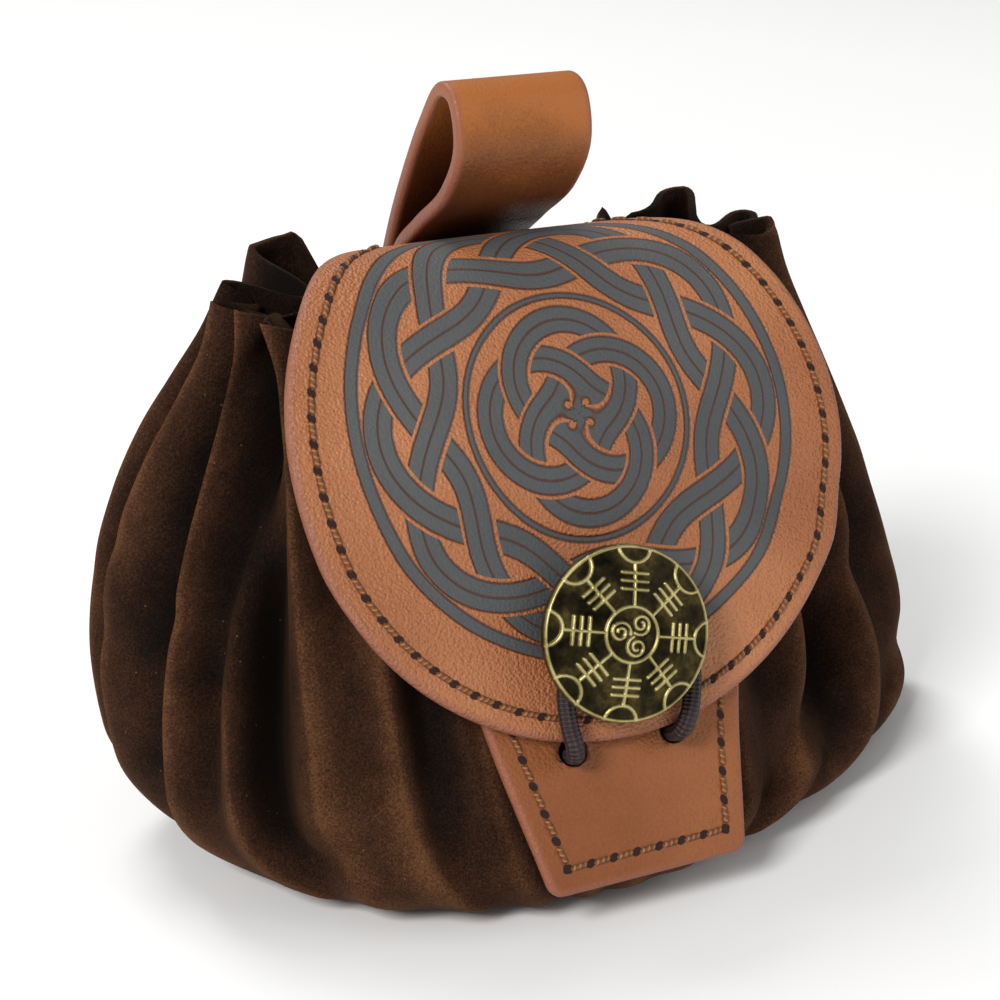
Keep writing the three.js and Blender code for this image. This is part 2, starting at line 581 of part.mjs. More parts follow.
// Belt loop: one strap, doubled. Both its ends lie on the back panel, one on the other. Lean is a share of how far
// the loop leans forward of its root, and up is a share of its height over the root.
const loopRows = [
  { lean: 0.0, up: 0.16 },
  { lean: 0.2, up: 0.43 },
  { lean: 0.52, up: 0.78 },
  { lean: 0.76, up: 0.96 },
  { lean: 0.92, up: 0.93 },
  { lean: 0.99, up: 0.72 },
  { lean: 0.8, up: 0.49 },
  { lean: 0.42, up: 0.29 },
  { lean: 0.1, up: 0.1 },
];

function strapGeometry() {
  const onPanel = (layer) => gap + flapLeather + gap + strapLeather / 2 + layer * (strapLeather + gap);
  const place = (at, layer) => {
    const { point, out } = placeOnLine(highest.at + at);
    return point.clone().addScaledVector(out, onPanel(layer));
  };
  const root = place(strapRootAt, 0.5);
  const ends = [1, 0.7, 0.4].map((share) => mix(strapRootAt, panelLength - panelMargin, share));
  const points = [
    ...ends.map((at) => place(at, 1)),
    ...loopRows.map(({ lean, up }) => new THREE.Vector3(0, root.y - lean * strapLean, root.z + up * strapRise)),
    ...ends.reverse().map((at) => place(at, 0)),
  ];
  const curve = new THREE.CatmullRomCurve3(points, false, "centripetal");
  const steps = 46;
  const near = [];
  const far = [];
  for (let i = 0; i <= steps; i += 1) {
    const p = curve.getPointAt(i / steps);
    const t = curve.getTangentAt(i / steps);
    near.push(new THREE.Vector2(p.y + (t.z * strapLeather) / 2, p.z - (t.y * strapLeather) / 2));
    far.unshift(new THREE.Vector2(p.y - (t.z * strapLeather) / 2, p.z + (t.y * strapLeather) / 2));
  }
  const geometry = new THREE.ExtrudeGeometry(new THREE.Shape([...near, ...far]),
    { depth: strapWidth, bevelEnabled: false, steps: 1 });
  const turned = new THREE.Matrix4().set(0, 0, 1, -strapWidth / 2, 1, 0, 0, 0, 0, 1, 0, 0, 0, 0, 0, 1);
  return geometry.applyMatrix4(turned);
}

const disc = (radius, thickness) => new THREE.CylinderGeometry(radius, radius, thickness, 18).rotateX(Math.PI / 2);

// A round cutter, longer than the leather and the button's post.
const cutter = (radius, frame) => solidOf(disc(radius, 8 * flapLeather), frame);

const foldReach = 0.3 * flapRadius; // to each side of the fold's crest, where the sections stand closer
const endTrim = panelCorner / 25; // off the end of the panel's rounded corners
const flapSheet = {
  from: flapStart, halfWidth: flapHalfWidth, lift: flapLift, thickness: flapLeather, across: 8,
  stretches: [
    { to: flapMiddle, steps: 11, crowd: "start" },
    { to: highest.at - foldReach, steps: 5 },
    { to: highest.at + foldReach, steps: 10 },
    { to: panelEnd - panelCorner, steps: 6 },
    { to: panelEnd - endTrim, steps: 3, crowd: "end" },
  ],
};
const tabSheet = {
  from: tabStart, halfWidth: tabHalfWidthAt, lift: () => gap, thickness: tabLeather, shift: tabShift, across: 4,
  stretches: [{ to: tabStart + tabCorner, steps: 3, crowd: "start" }, { to: tabEnd, steps: 9 }],
};

const screwFrame = frameOnLine(buttonAt, buttonShift, flapLift(buttonAt) + screwThickness / 2);
const cordRoom = cordSolid(cordRadius + gap, knotRadius + gap);
const holeFrames = [-1, 1].map((side) => frameOnLine(cordHoleAt, tabShift + (side * cordHoleSpacing) / 2, 0));

const bag = geometryOf(bagSolid().subtract(cordRoom));
const flap = geometryOf(solidOf(sheetGeometry(flapSheet))
  .subtract(cutter(postRadius + gap, buttonFrame))
  .subtract(solidOf(disc(screwRadius + gap, screwThickness + 2 * gap), screwFrame)));
const tab = geometryOf(holeFrames.reduce((sheet, frame) => sheet.subtract(cutter(cordHoleRadius, frame)),
  solidOf(sheetGeometry(tabSheet))));
const button = geometryOf(buttonSolid());
button.applyMatrix4(buttonFrame);
const screw = disc(screwRadius, screwThickness).applyMatrix4(screwFrame);
const cord = geometryOf(cordSolid(cordRadius, knotRadius));

const suedeLook = new THREE.MeshStandardMaterial({ color: 0x3b2415, roughness: 0.95, metalness: 0 });
const leatherLook = new THREE.MeshStandardMaterial({ color: 0xa8683c, roughness: 0.5, metalness: 0 });
const brassLook = new THREE.MeshStandardMaterial({ color: 0x6f6238, roughness: 0.4, metalness: 1 });
const cordLook = new THREE.MeshStandardMaterial({ color: 0x2e1d1a, roughness: 0.7, metalness: 0 });

const pouch = new THREE.Group();
for (const [name, geometry, look] of [
  ["suede_bag", bag, suedeLook],
  ["flap_and_back_panel", flap, leatherLook],
  ["front_tab", tab, leatherLook],
  ["belt_loop", strapGeometry(), leatherLook],
  ["cast_button", button, brassLook],
  ["button_screw", screw, brassLook],
  ["closing_cord", cord, cordLook],
]) {
  const piece = new THREE.Mesh(geometry, look);
  piece.name = name;
  pouch.add(piece);
}

export default pouch;
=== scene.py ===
# A gathered suede belt pouch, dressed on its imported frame: the pleated bag, the leather flap with a burnt
# knotwork roundel, the tab, the belt loop, the stitching, the cast button and the braided cord that hooks
# the flap shut. +Z is up and the front is towards -Y. Sizes in the dictionaries are millimetres, angles are
# degrees, and a turn of 1 is once round the bag from the middle of its front, anticlockwise from above.
import math

import bpy
import numpy as np
from mathutils import Matrix, Vector


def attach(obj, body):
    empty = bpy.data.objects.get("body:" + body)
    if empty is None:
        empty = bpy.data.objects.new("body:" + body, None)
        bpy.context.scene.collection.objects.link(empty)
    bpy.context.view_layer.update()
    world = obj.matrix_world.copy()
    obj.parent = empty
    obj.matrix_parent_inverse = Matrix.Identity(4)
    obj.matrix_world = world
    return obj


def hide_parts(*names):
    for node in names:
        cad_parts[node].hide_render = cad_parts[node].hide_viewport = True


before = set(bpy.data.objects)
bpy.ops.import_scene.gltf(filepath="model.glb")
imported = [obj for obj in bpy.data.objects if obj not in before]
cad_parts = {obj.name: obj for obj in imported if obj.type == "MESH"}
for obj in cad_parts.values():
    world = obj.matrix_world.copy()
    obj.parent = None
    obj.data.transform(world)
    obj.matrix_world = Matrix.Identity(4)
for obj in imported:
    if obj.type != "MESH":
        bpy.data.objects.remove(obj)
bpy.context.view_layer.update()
bpy.ops.object.select_all(action="DESELECT")
mm = 0.001
tau = 2 * math.pi
print("frame loaded")


# Small tools that every piece uses


def toLinear(hexColour):  # an sRGB hex colour as linear RGBA
    channels = [int(hexColour[i:i + 2], 16) / 255 for i in (1, 3, 5)]
    return [c / 12.92 if c <= 0.04045 else ((c + 0.055) / 1.055) ** 2.4 for c in channels] + [1.0]


def linkTo(tree, node, links):  # where a source is a node, its first output is meant
    for key, source in links.items():
        tree.links.new(getattr(source, "outputs", [source])[0], node.inputs[key])


def addNode(tree, kind, settings=None, links=None):  # sockets go by name or number: a range's ends are 1 to 4
    node = tree.nodes.new("ShaderNode" + kind)
    for key, value in (settings or {}).items():
        if key == "ramp":
            stops = node.color_ramp.elements
            while len(stops) < len(value):
                stops.new(0.5)
            for stop, (place, colour) in zip(stops, value):
                stop.position = place
                stop.color = toLinear(colour) if isinstance(colour, str) else [colour] * 3 + [1.0]
        elif isinstance(key, int) or key in node.inputs:
            node.inputs[key].default_value = value
        else:
            setattr(node, key, value)
    linkTo(tree, node, links or {})
    return node


def newMaterial(name, **shader):  # a Principled material, its uniform values on the shader's own sockets
    material = bpy.data.materials.new(name)
    material.use_nodes = True
    tree = material.node_tree
    tree.nodes.clear()
    settings = {key.replace("_", " "): value for key, value in shader.items()}
    surface = addNode(tree, "BsdfPrincipled", settings)
    addNode(tree, "OutputMaterial", links={"Surface": surface})
    return material, tree, surface


def meshPiece(name, points, faces, materials, flat=None):  # points in metres; flat is for patterns
    mesh = bpy.data.meshes.new(name)
    mesh.from_pydata([tuple(p) for p in points], [], faces)
    mesh.validate()
    piece = bpy.data.objects.new(name, mesh)
    bpy.context.scene.collection.objects.link(piece)
    for material in materials:
        mesh.materials.append(material)
    mesh.polygons.foreach_set("use_smooth", [True] * len(mesh.polygons))
    if flat is not None:
        place = mesh.attributes.new("flat", "FLOAT_VECTOR", "POINT")
        place.data.foreach_set("vector", np.asarray(flat, np.float32).ravel())
    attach(piece, "root")
    return piece


def gridFaces(rows, columns):  # quads between closed rows of points
    faces = []
    for i in range(rows - 1):
        for j in range(columns):
            k = (j + 1) % columns
            faces.append((i * columns + j, i * columns + k, (i + 1) * columns + k, (i + 1) * columns + j))
    return faces


def tubeFaces(rows, columns):  # the same, with both ends closed
    ends = [tuple(range(columns))[::-1], tuple((rows - 1) * columns + j for j in range(columns))]
    return gridFaces(rows, columns) + ends


def unit(vectors):
    return vectors / np.linalg.norm(vectors, axis=-1, keepdims=True)


def lengthsAlong(line):
    return np.concatenate([[0], np.cumsum(np.linalg.norm(np.diff(line, axis=0), axis=1))])


def pointsAt(ats, lengths, line):  # the line's points at lengths along it
    return np.stack([np.interp(ats, lengths, line[:, i]) for i in range(line.shape[1])], -1)


def smoothStep(value):
    t = np.clip(value, 0, 1)
    return t * t * (3 - 2 * t)


def along(column, share):  # a table's column at a share of its rows, with no overshoot between rows
    rows = np.asarray(column, float)
    ends = np.concatenate([[2 * rows[0] - rows[1]], rows, [2 * rows[-1] - rows[-2]]])
    before, after = np.diff(ends)[:-1], np.diff(ends)[1:]
    total = before + after
    slopes = np.where(before * after > 0, 2 * before * after / np.where(total == 0, 1, total), 0)
    place = np.clip(share, 0, 1) * (len(rows) - 1)
    row = np.minimum(place.astype(int), len(rows) - 2)
    t = place - row
    start, end = rows[row], rows[row + 1]
    return (start * (1 + 2 * t) * (1 - t) ** 2 + end * t * t * (3 - 2 * t)
            + slopes[row] * t * (1 - t) ** 2 + slopes[row + 1] * t * t * (t - 1))


def smoothCurve(points, steps=80):  # close points on a centripetal curve, and their lengths along it
    points = np.asarray(points, float)
    held = np.vstack([2 * points[0] - points[1], points, 2 * points[-1] - points[-2]])
    line = [points[0]]
    for i in range(1, len(held) - 2):
        p0, p1, p2, p3 = held[i - 1:i + 3]
        d0, d1, d2 = (math.sqrt(np.linalg.norm(b - a)) for a, b in ((p0, p1), (p1, p2), (p2, p3)))
        first = ((p1 - p0) / d0 - (p2 - p0) / (d0 + d1) + (p2 - p1) / d1) * d1
        last = ((p2 - p1) / d1 - (p3 - p1) / (d1 + d2) + (p3 - p2) / d2) * d1
        for t in np.linspace(0, 1, steps + 1)[1:]:
            line.append(p1 + first * t + (3 * (p2 - p1) - 2 * first - last) * t ** 2
                        + (2 * (p1 - p2) + first + last) * t ** 3)
    line = np.array(line)
    return line, lengthsAlong(line)


# The camera, at the photograph's angle

view = {
    "target": (-6.7, -17, 60), "azimuth": -26.6, "elevation": 21.0, "distance": 401,
    "lens": 79.4, "sensor": 36, "rise": 0.02, "nearest": 10,
}


def addCamera():
    turn, lift = math.radians(view["azimuth"]), math.radians(view["elevation"])
    away = Vector((math.sin(turn) * math.cos(lift), -math.cos(turn) * math.cos(lift), math.sin(lift)))
    data = bpy.data.cameras.new("camera")
    data.lens = view["lens"]
    data.sensor_width = view["sensor"]
    data.shift_y = view["rise"]
    data.clip_start = view["nearest"] * mm
    camera = bpy.data.objects.new("camera", data)
    camera.location = (Vector(view["target"]) + away * view["distance"]) * mm
    camera.rotation_euler = away.to_track_quat("Z", "Y").to_euler()
    bpy.context.scene.collection.objects.link(camera)
    bpy.context.scene.camera = camera


addCamera()
print("camera set")


# The line that the flap, the panel and the tab lie along

leather = {
    "flapRadius": 53, "flapLeather": 3, "flapCrown": 0.8, "flapDrop": 92.3,
    "panelHalfWidth": 26, "panelLength": 66, "panelCorner": 8,
    "tabLeather": 2.4, "tabHalfWidth": 19.3, "tabTaper": 0.2, "tabLength": 49.5, "tabShift": -0.7,
    "tabCorner": 2.2, "tabStart": 5.5, "settle": 12, "gap": 0.35,
    # The edges' rounding, the rings below, and each outline's spacing, its rings on top and its spine's end.
    "edgeRound": 1.1, "edgeSteps": 5, "underRings": 8,
    "flapStep": 1.1, "flapRings": 26, "flapSpine": 20, "tabStep": 0.8, "tabRings": 14, "tabSpine": 16,
    "line": [  # y and z, from low on the front, over the mouth and down the back
        (-62.62, 2.97), (-62.31, 7.0), (-59.27, 13.46), (-54.87, 21.52), (-50.28, 30.53), (-42.9, 50.03),
        (-37.51, 70.17), (-31.5, 82.57), (-24.18, 94.02), (-20.09, 99.43), (-15.81, 103.56), (-10.48, 106.0),
        (-4.71, 106.32), (1.19, 104.83), (6.6, 101.87), (12.98, 94.02), (18.04, 83.95), (23.01, 71.97),
        (27.02, 57.98), (29.92, 43.99), (31.99, 33.92),
    ],
}
linePoints, lineLengths = smoothCurve([(0, y, z) for y, z in leather["line"]])
lineTangents = unit(np.gradient(linePoints, lineLengths, axis=0))
crestAt = lineLengths[np.argmax(linePoints[:, 2])]
tabEnd = leather["tabStart"] + leather["tabLength"]
panelEnd = crestAt + leather["panelLength"]
flapStart = crestAt - leather["flapDrop"]
flapMiddle = flapStart + leather["flapRadius"]


def placeOnLine(at):  # the line's point and outward direction at lengths from its lower front end
    point = pointsAt(at, lineLengths, linePoints)
    tangent = unit(pointsAt(at, lineLengths, lineTangents))
    out = np.stack([np.zeros_like(tangent[..., 0]), -tangent[..., 2], tangent[..., 1]], -1)
    return point, tangent, out


def crownAt(x):
    return leather["flapCrown"] * (x / leather["flapRadius"]) ** 2


def flapLift(at):
    return leather["gap"] + (leather["tabLeather"] + leather["gap"]) * (
        1 - smoothStep((at - tabEnd - 1) / leather["settle"]))


def layOnLine(flat, lift):  # points across, along and above the leather's underside, placed in metres
    point, _, out = placeOnLine(flat[:, 1])
    point[:, 0] += flat[:, 0]
    return (point + out * (lift(flat[:, 1]) + flat[:, 2] - crownAt(flat[:, 0]))[:, None]) * mm


def flapHalfWidth(at):
    corner = leather["panelCorner"]
    circle = np.sqrt(np.clip(leather["flapRadius"] ** 2 - (at - flapMiddle) ** 2, 0, None))
    past = np.clip(at - (panelEnd - corner), 0, corner)
    neck = leather["panelHalfWidth"] - corner + np.sqrt(corner ** 2 - past ** 2)
    upper = np.where(at < flapMiddle + leather["flapRadius"], np.maximum(circle, neck), neck)
    return np.where(at < flapMiddle, circle, upper)


def tabHalfWidth(at):
    corner = leather["tabCorner"]
    past = np.clip(leather["tabStart"] + corner - at, 0, corner)
    rounding = corner - np.sqrt(corner ** 2 - past ** 2)
    return leather["tabHalfWidth"] + leather["tabTaper"] * (at - leather["tabStart"]) - rounding


# The suede bag

bag = {
    "left": 78, "right": 97.5, "front": 62, "back": 44, "mouthHeight": 106, "suede": 1.4, "foldDepth": 13,
    "leftFullness": 2.3, "rightFullness": 1.55, "pinch": 0.6, "valleySpan": (0.2, 0.9),
    # How sharp the crests are, from which rise and over how much it comes, and how it goes again at the rim.
    "ridge": 0.8, "ridgeFrom": 0.1, "ridgeOver": 0.4, "rimEase": 0.85, "rimFrom": 0.82, "rimOver": 0.16,
    # How far beside the leather its push holds and then fades: in front, behind, and behind on the left.
    "margin": (4, 3, 1.6), "fade": (14, 4, 1.5), "reach": 8, "backBlend": 12,
    "columnsPerPleat": 20, "rows": 120, "innerRows": 50, "innerEase": 0.5, "insidePaintedShade": 0.5,
    "level": [0, 0, 0.03, 0.1, 0.2, 0.35, 0.5, 0.62, 0.74, 0.83, 0.92, 1],
    "leftReach": [0, 0.6, 0.79, 0.91, 0.98, 1, 0.98, 0.935, 0.86, 0.785, 0.715, 0.68],
    "rightReach": [0, 0.79, 0.95, 1, 0.985, 0.93, 0.872, 0.812, 0.748, 0.699, 0.65, 0.62],
    "frontReach": [0, 0.7, 0.92, 1, 0.94, 0.84, 0.765, 0.705, 0.65, 0.605, 0.575, 0.555],
    "backReach": [0, 0.7, 0.86, 0.95, 1, 1, 0.95, 0.88, 0.79, 0.72, 0.67, 0.64],
    "fold": [0, 0, 0.1, 0.28, 0.46, 0.6, 0.72, 0.8, 0.88, 0.94, 0.98, 1],
    "levels": (0.2, 0.45, 0.7, 1.0),  # the rises at which each pleat's four values hold
    "pleats": [  # the crest's turn, the valley's place on the way to the next, its depth, sink, rim's rise
        ((0.03, 0.03, 0.03, 0.03), (0.5, 0.5, 0.5, 0.5), (0.5, 0.5, 0.5, 0.5), (0, 0, 0, 0), 0.0),
        ((0.06, 0.075, 0.09, 0.085), (0.5, 0.5, 0.5, 0.5), (0.6, 0.6, 0.6, 0.6), (0, 0, 0, 0), 0.0),
        ((0.085, 0.135, 0.14, 0.14), (0.5, 0.5, 0.4, 0.4), (0.7, 1.3, 1.0, 0.7), (0, 0, 0, 0), 0.0),
        ((0.14, 0.19, 0.192, 0.185), (0.5, 0.45, 0.4, 0.4), (0.6, 0.8, 0.8, 0.8), (0, 0, 0, 0), 0.005),
        ((0.2, 0.23, 0.23, 0.222), (0.5, 0.5, 0.5, 0.5), (0.6, 0.6, 0.6, 0.6), (0, 0, 0, 0), 0.02),
        ((0.255, 0.262, 0.264, 0.263), (0.5, 0.5, 0.5, 0.5), (0.8, 0.8, 0.8, 0.9), (0, 0, 0, 0.05), 0.005),
        ((0.3, 0.3, 0.297, 0.291), (0.5, 0.5, 0.5, 0.5), (0.8, 0.8, 0.9, 1.0), (0, 0, 0, 0), 0.04),
        ((0.35, 0.35, 0.35, 0.35), (0.5, 0.5, 0.5, 0.5), (0.7, 0.7, 0.8, 0.9), (0, 0, 0, 0), 0.03),
        ((0.4, 0.405, 0.41, 0.41), (0.5, 0.5, 0.5, 0.5), (0.6, 0.6, 0.6, 0.7), (0, 0, 0, 0), 0.04),
        ((0.46, 0.465, 0.47, 0.47), (0.5, 0.5, 0.5, 0.5), (0.5, 0.5, 0.5, 0.5), (0, 0, 0, 0), 0.09),
        ((0.54, 0.535, 0.53, 0.53), (0.5, 0.5, 0.5, 0.5), (0.5, 0.5, 0.5, 0.5), (0, 0, 0, 0), 0.09),
        ((0.6, 0.595, 0.59, 0.59), (0.5, 0.5, 0.5, 0.5), (0.6, 0.6, 0.5, 0.15), (0, 0, 0, 0), 0.045),
        ((0.66, 0.66, 0.665, 0.675), (0.55, 0.6, 0.6, 0.6), (0.7, 0.8, 1.0, 1.2), (0, 0, 0, 0.1), 0.01),
        ((0.72, 0.727, 0.722, 0.718), (0.6, 0.65, 0.65, 0.6), (0.6, 0.8, 0.8, 0.6), (0, 0, 0, 0.2), -0.015),
        ((0.76, 0.75, 0.752, 0.74), (0.6, 0.75, 0.8, 0.7), (0.6, 1.2, 1.1, 0.8), (0, 0, 0, 0), -0.04),
        ((0.79, 0.795, 0.794, 0.772), (0.6, 0.6, 0.8, 0.8), (0.3, 0.6, 0.2, 0.0), (0, 0, 0, 0), -0.03),
        ((0.85, 0.82, 0.818, 0.784), (0.35, 0.42, 0.8, 0.8), (0.5, 1.6, 0.2, 0.0), (0, 0, 0.8, 0.9), -0.02),
        ((0.88, 0.852, 0.832, 0.792), (0.5, 0.6, 0.7, 0.7), (0.5, 0.2, 0.7, 0.7), (0, 0, 0, 0), -0.04),
        ((0.92, 0.885, 0.86, 0.825), (0.4, 0.35, 0.45, 0.6), (0.6, 0.9, 0.7, 0.7), (0, 0, 0, 0), -0.035),
        ((0.95, 0.925, 0.9, 0.865), (0.5, 0.5, 0.5, 0.5), (0.6, 0.6, 0.6, 0.7), (0, 0, 0, 0), -0.02),
        ((0.975, 0.96, 0.94, 0.915), (0.5, 0.5, 0.5, 0.5), (0.5, 0.5, 0.5, 0.6), (0, 0, 0, 0), -0.01),
        ((0.995, 0.99, 0.98, 0.97), (0.5, 0.5, 0.5, 0.5), (0.4, 0.5, 0.5, 0.5), (0, 0, 0, 0), 0.0),
    ],
    "dents": [  # turn, rise, their half sizes, how it leans, depth
        (0.866, 0.31, 0.016, 0.06, 0.12, 4.0), (0.812, 0.46, 0.008, 0.07, -0.06, 2.5),
        (0.874, 0.42, 0.016, 0.05, -0.5, 3.0), (0.787, 0.565, 0.016, 0.05, -0.65, 1.0),
        (0.152, 0.405, 0.022, 0.09, 0.5, 4.5), (0.208, 0.3, 0.02, 0.08, 0.35, 3.0),
        (0.1, 0.3, 0.016, 0.07, 0.4, 2.5), (0.756, 0.49, 0.012, 0.05, -0.4, 0.8),
    ],
}
crests, valleys, depths, sinks = (np.array([row[i] for row in bag["pleats"]], float) for i in range(4))
rims = np.array([row[4] for row in bag["pleats"]])


def rimRise(turn):
    tops, rises = crests[:, 3], rims
    place = np.mod(turn, 1)
    i = np.searchsorted(tops, place, side="right") - 1
    after = (i + 1) % len(tops)
    start = tops[i] - (i < 0)
    end = tops[after] + (i + 1 == len(tops))
    return rises[i] + (rises[after] - rises[i]) * smoothStep((place - start) / (end - start))


def basePoint(turn, rise):  # the bag's outer skin without its pleats
    c, s = np.cos(tau * (turn - 0.25)), np.sin(tau * (turn - 0.25))
    left, right, front, back = (bag[side] * along(bag[side + "Reach"], rise)
                                for side in ("left", "right", "front", "back"))
    wide, deep = np.where(c < 0, left, right), np.where(s < 0, front, back)
    full = np.where(c < 0, bag["leftFullness"], bag["rightFullness"])
    reach = ((abs(c) / wide) ** full + (abs(s) / deep) ** full) ** (-1 / full)
    z = bag["mouthHeight"] * along(bag["level"], rise) * (1 + rimRise(turn) * rise ** 3)
    return np.stack([c * reach, s * reach, z], -1)


def atLevels(table, rise):  # a smooth line through each pleat's four values
    levels = bag["levels"]
    rise = np.clip(rise, levels[0], levels[-1])
    total = 0
    for i in range(len(levels)):
        term = 1
        for j in range(len(levels)):
            if j != i:
                term = term * (rise - levels[j]) / (levels[i] - levels[j])
        total = total + table[..., i] * term
    return total


def valleyPlace(index, rise):  # where a pleat's valley lies between its crest and the next
    return np.clip(atLevels(valleys[index], rise), *bag["valleySpan"])


def pleatedPoint(index, share, rise):  # a point between two crests: the wave that the gathers make
    after = (index + 1) % len(crests)
    crest = atLevels(crests[index], rise)
    following = atLevels(crests[after], rise) + (after == 0)
    turn = crest + (following - crest) * share
    place = valleyPlace(index, rise)
    wave = np.where(share < place, share / place, (1 - share) / (1 - place))
    phase = np.where(share < place, wave, 2 - wave) * math.pi
    ridge = bag["ridge"] * smoothStep((rise - bag["ridgeFrom"]) / bag["ridgeOver"])
    ridge = ridge * (1 - bag["rimEase"] * smoothStep((rise - bag["rimFrom"]) / bag["rimOver"]))
    valley = ridge * wave + (1 - ridge) * smoothStep(wave)
    sink = np.clip(atLevels(sinks[index], rise), 0, 1) * (1 - share) + np.clip(
        atLevels(sinks[after], rise), 0, 1) * share
    deep = np.clip(atLevels(depths[index], rise), 0, None) * valley + sink
    fold = along(bag["fold"], rise)
    shift = bag["pinch"] * fold * (following - crest) / (2 * tau) * np.sin(2 * phase)
    step = 1e-3
    around = basePoint(turn + shift + step, rise) - basePoint(turn + shift - step, rise)
    up = basePoint(turn + shift, rise + step) - basePoint(turn + shift, rise - step)
    outward = unit(np.cross(around, up))
    inset = bag["foldDepth"] * deep * fold
    for middle, level, halfTurn, halfRise, slope, depth in bag["dents"]:
        aside = (turn - middle - slope * (rise - level)) / halfTurn
        inset = inset + depth * np.exp(-aside ** 2 - ((rise - level) / halfRise) ** 2)
    return basePoint(turn + shift, rise) - outward * inset[..., None], deep * fold, outward


def pressed(points, under):  # leather presses the pleats flat under it, and the push fades beside its edges
    moved = points.copy()
    samples = np.linspace(0, lineLengths[-1], 241)
    linePoint, _, lineOut = placeOnLine(samples)
    batch = 4000
    for i in range(0, len(points), batch):
        part = points[i:i + batch]
        away = sum((linePoint[None, :, k] - part[:, None, k]) ** 2 for k in (1, 2))
        nearest = np.argmin(away, axis=1)
        at, out = samples[nearest], lineOut[nearest]
        above = np.sum((part - linePoint[nearest]) * out, axis=1) + crownAt(part[:, 0]) + under
        back = smoothStep((at - crestAt + bag["backBlend"] / 4) / bag["backBlend"])
        margin, fade = (front + (np.where(part[:, 0] < 0, behindLeft, behind) - front) * back
                        for front, behind, behindLeft in (bag["margin"], bag["fade"]))
        widest = np.where(at > flapStart - bag["reach"], np.maximum(
            flapHalfWidth(at - bag["reach"]), flapHalfWidth(np.minimum(at + bag["reach"], panelEnd))), 0)
        flapHalf = widest + (np.minimum(widest, leather["panelHalfWidth"]) - widest) * back
        tabHalf = np.where(at < tabEnd, tabHalfWidth(at) + abs(leather["tabShift"]), 0)
        weight = 1 - smoothStep((abs(part[:, 0]) - np.maximum(flapHalf, tabHalf) - margin) / fade)
        moved[i:i + batch] = part - out * (np.clip(above, 0, None) * weight)[:, None]
    return moved


def suedeMaterial():
    # Brushed split suede: a matt velvety nap, lighter along the crests (a painted highlight, partly real
    # wear) and near black in the valleys and on the inside (painted shade), with patches of tone about 17 mm
    # across and specks of lint 3 mm apart.
    material, tree, surface = newMaterial(
        "brushed_suede", Roughness=0.95, Specular_IOR_Level=0.12, Sheen_Weight=0.1, Sheen_Roughness=0.45,
        Sheen_Tint=toLinear("#a8703f"))
    place = addNode(tree, "TexCoord").outputs["Object"]
    hollow = addNode(tree, "Attribute", {"attribute_name": "hollow"}).outputs["Fac"]
    patches = addNode(tree, "TexNoise", {"Scale": 60, "Detail": 5, "Roughness": 0.6}, {"Vector": place})
    # The nap's fibres are under 0.1 mm, too fine to show, so their tufts are drawn 0.4 mm apart.
    nap = addNode(tree, "TexNoise", {"Scale": 2500, "Detail": 2, "Roughness": 0.7}, {"Vector": place})
    lint = addNode(tree, "TexVoronoi", {"Scale": 300}, {"Vector": place})
    shade = addNode(tree, "MapRange", {1: 0.3, 2: 0.7, 3: -0.2, 4: 0.2}, {0: patches})
    grain = addNode(tree, "MapRange", {1: 0.3, 2: 0.7, 3: -0.24, 4: 0.24}, {0: nap})
    # painted shade: the deeper the fold, the darker the suede, down to near black in the valleys
    level = addNode(tree, "Math", {"operation": "MULTIPLY_ADD", 1: -0.9, 2: 0.62}, {0: hollow})
    level = addNode(tree, "Math", {"operation": "ADD"}, {0: level, 1: shade})
    level = addNode(tree, "Math", {"operation": "ADD"}, {0: level, 1: grain})
    # painted highlight, partly real wear: the shallowest places on the crests are lightened
    wearAndPaintedLight = addNode(tree, "MapRange", {1: 0.06, 2: 0.0, 3: 0.0, 4: 0.2}, {0: hollow})
    level = addNode(tree, "Math", {"operation": "ADD"}, {0: level, 1: wearAndPaintedLight})
    colour = addNode(tree, "ValToRGB", {"ramp": [
        (0.0, "#080402"), (0.3, "#1e1008"), (0.65, "#3b2315"), (1.0, "#5d3d25")]}, {0: level})
    speck = addNode(tree, "MapRange", {1: 0.06, 2: 0.03, 3: 0.0, 4: 0.5}, {0: lint.outputs["Distance"]})
    mixed = addNode(tree, "Mix", {"data_type": "RGBA", 7: toLinear("#8a6440")}, {0: speck, 6: colour})
    bump = addNode(tree, "Bump", {"Strength": 0.6, "Distance": 0.4 * mm}, {"Height": nap})
    linkTo(tree, surface, {"Base Color": mixed.outputs[2], "Normal": bump})
    return material


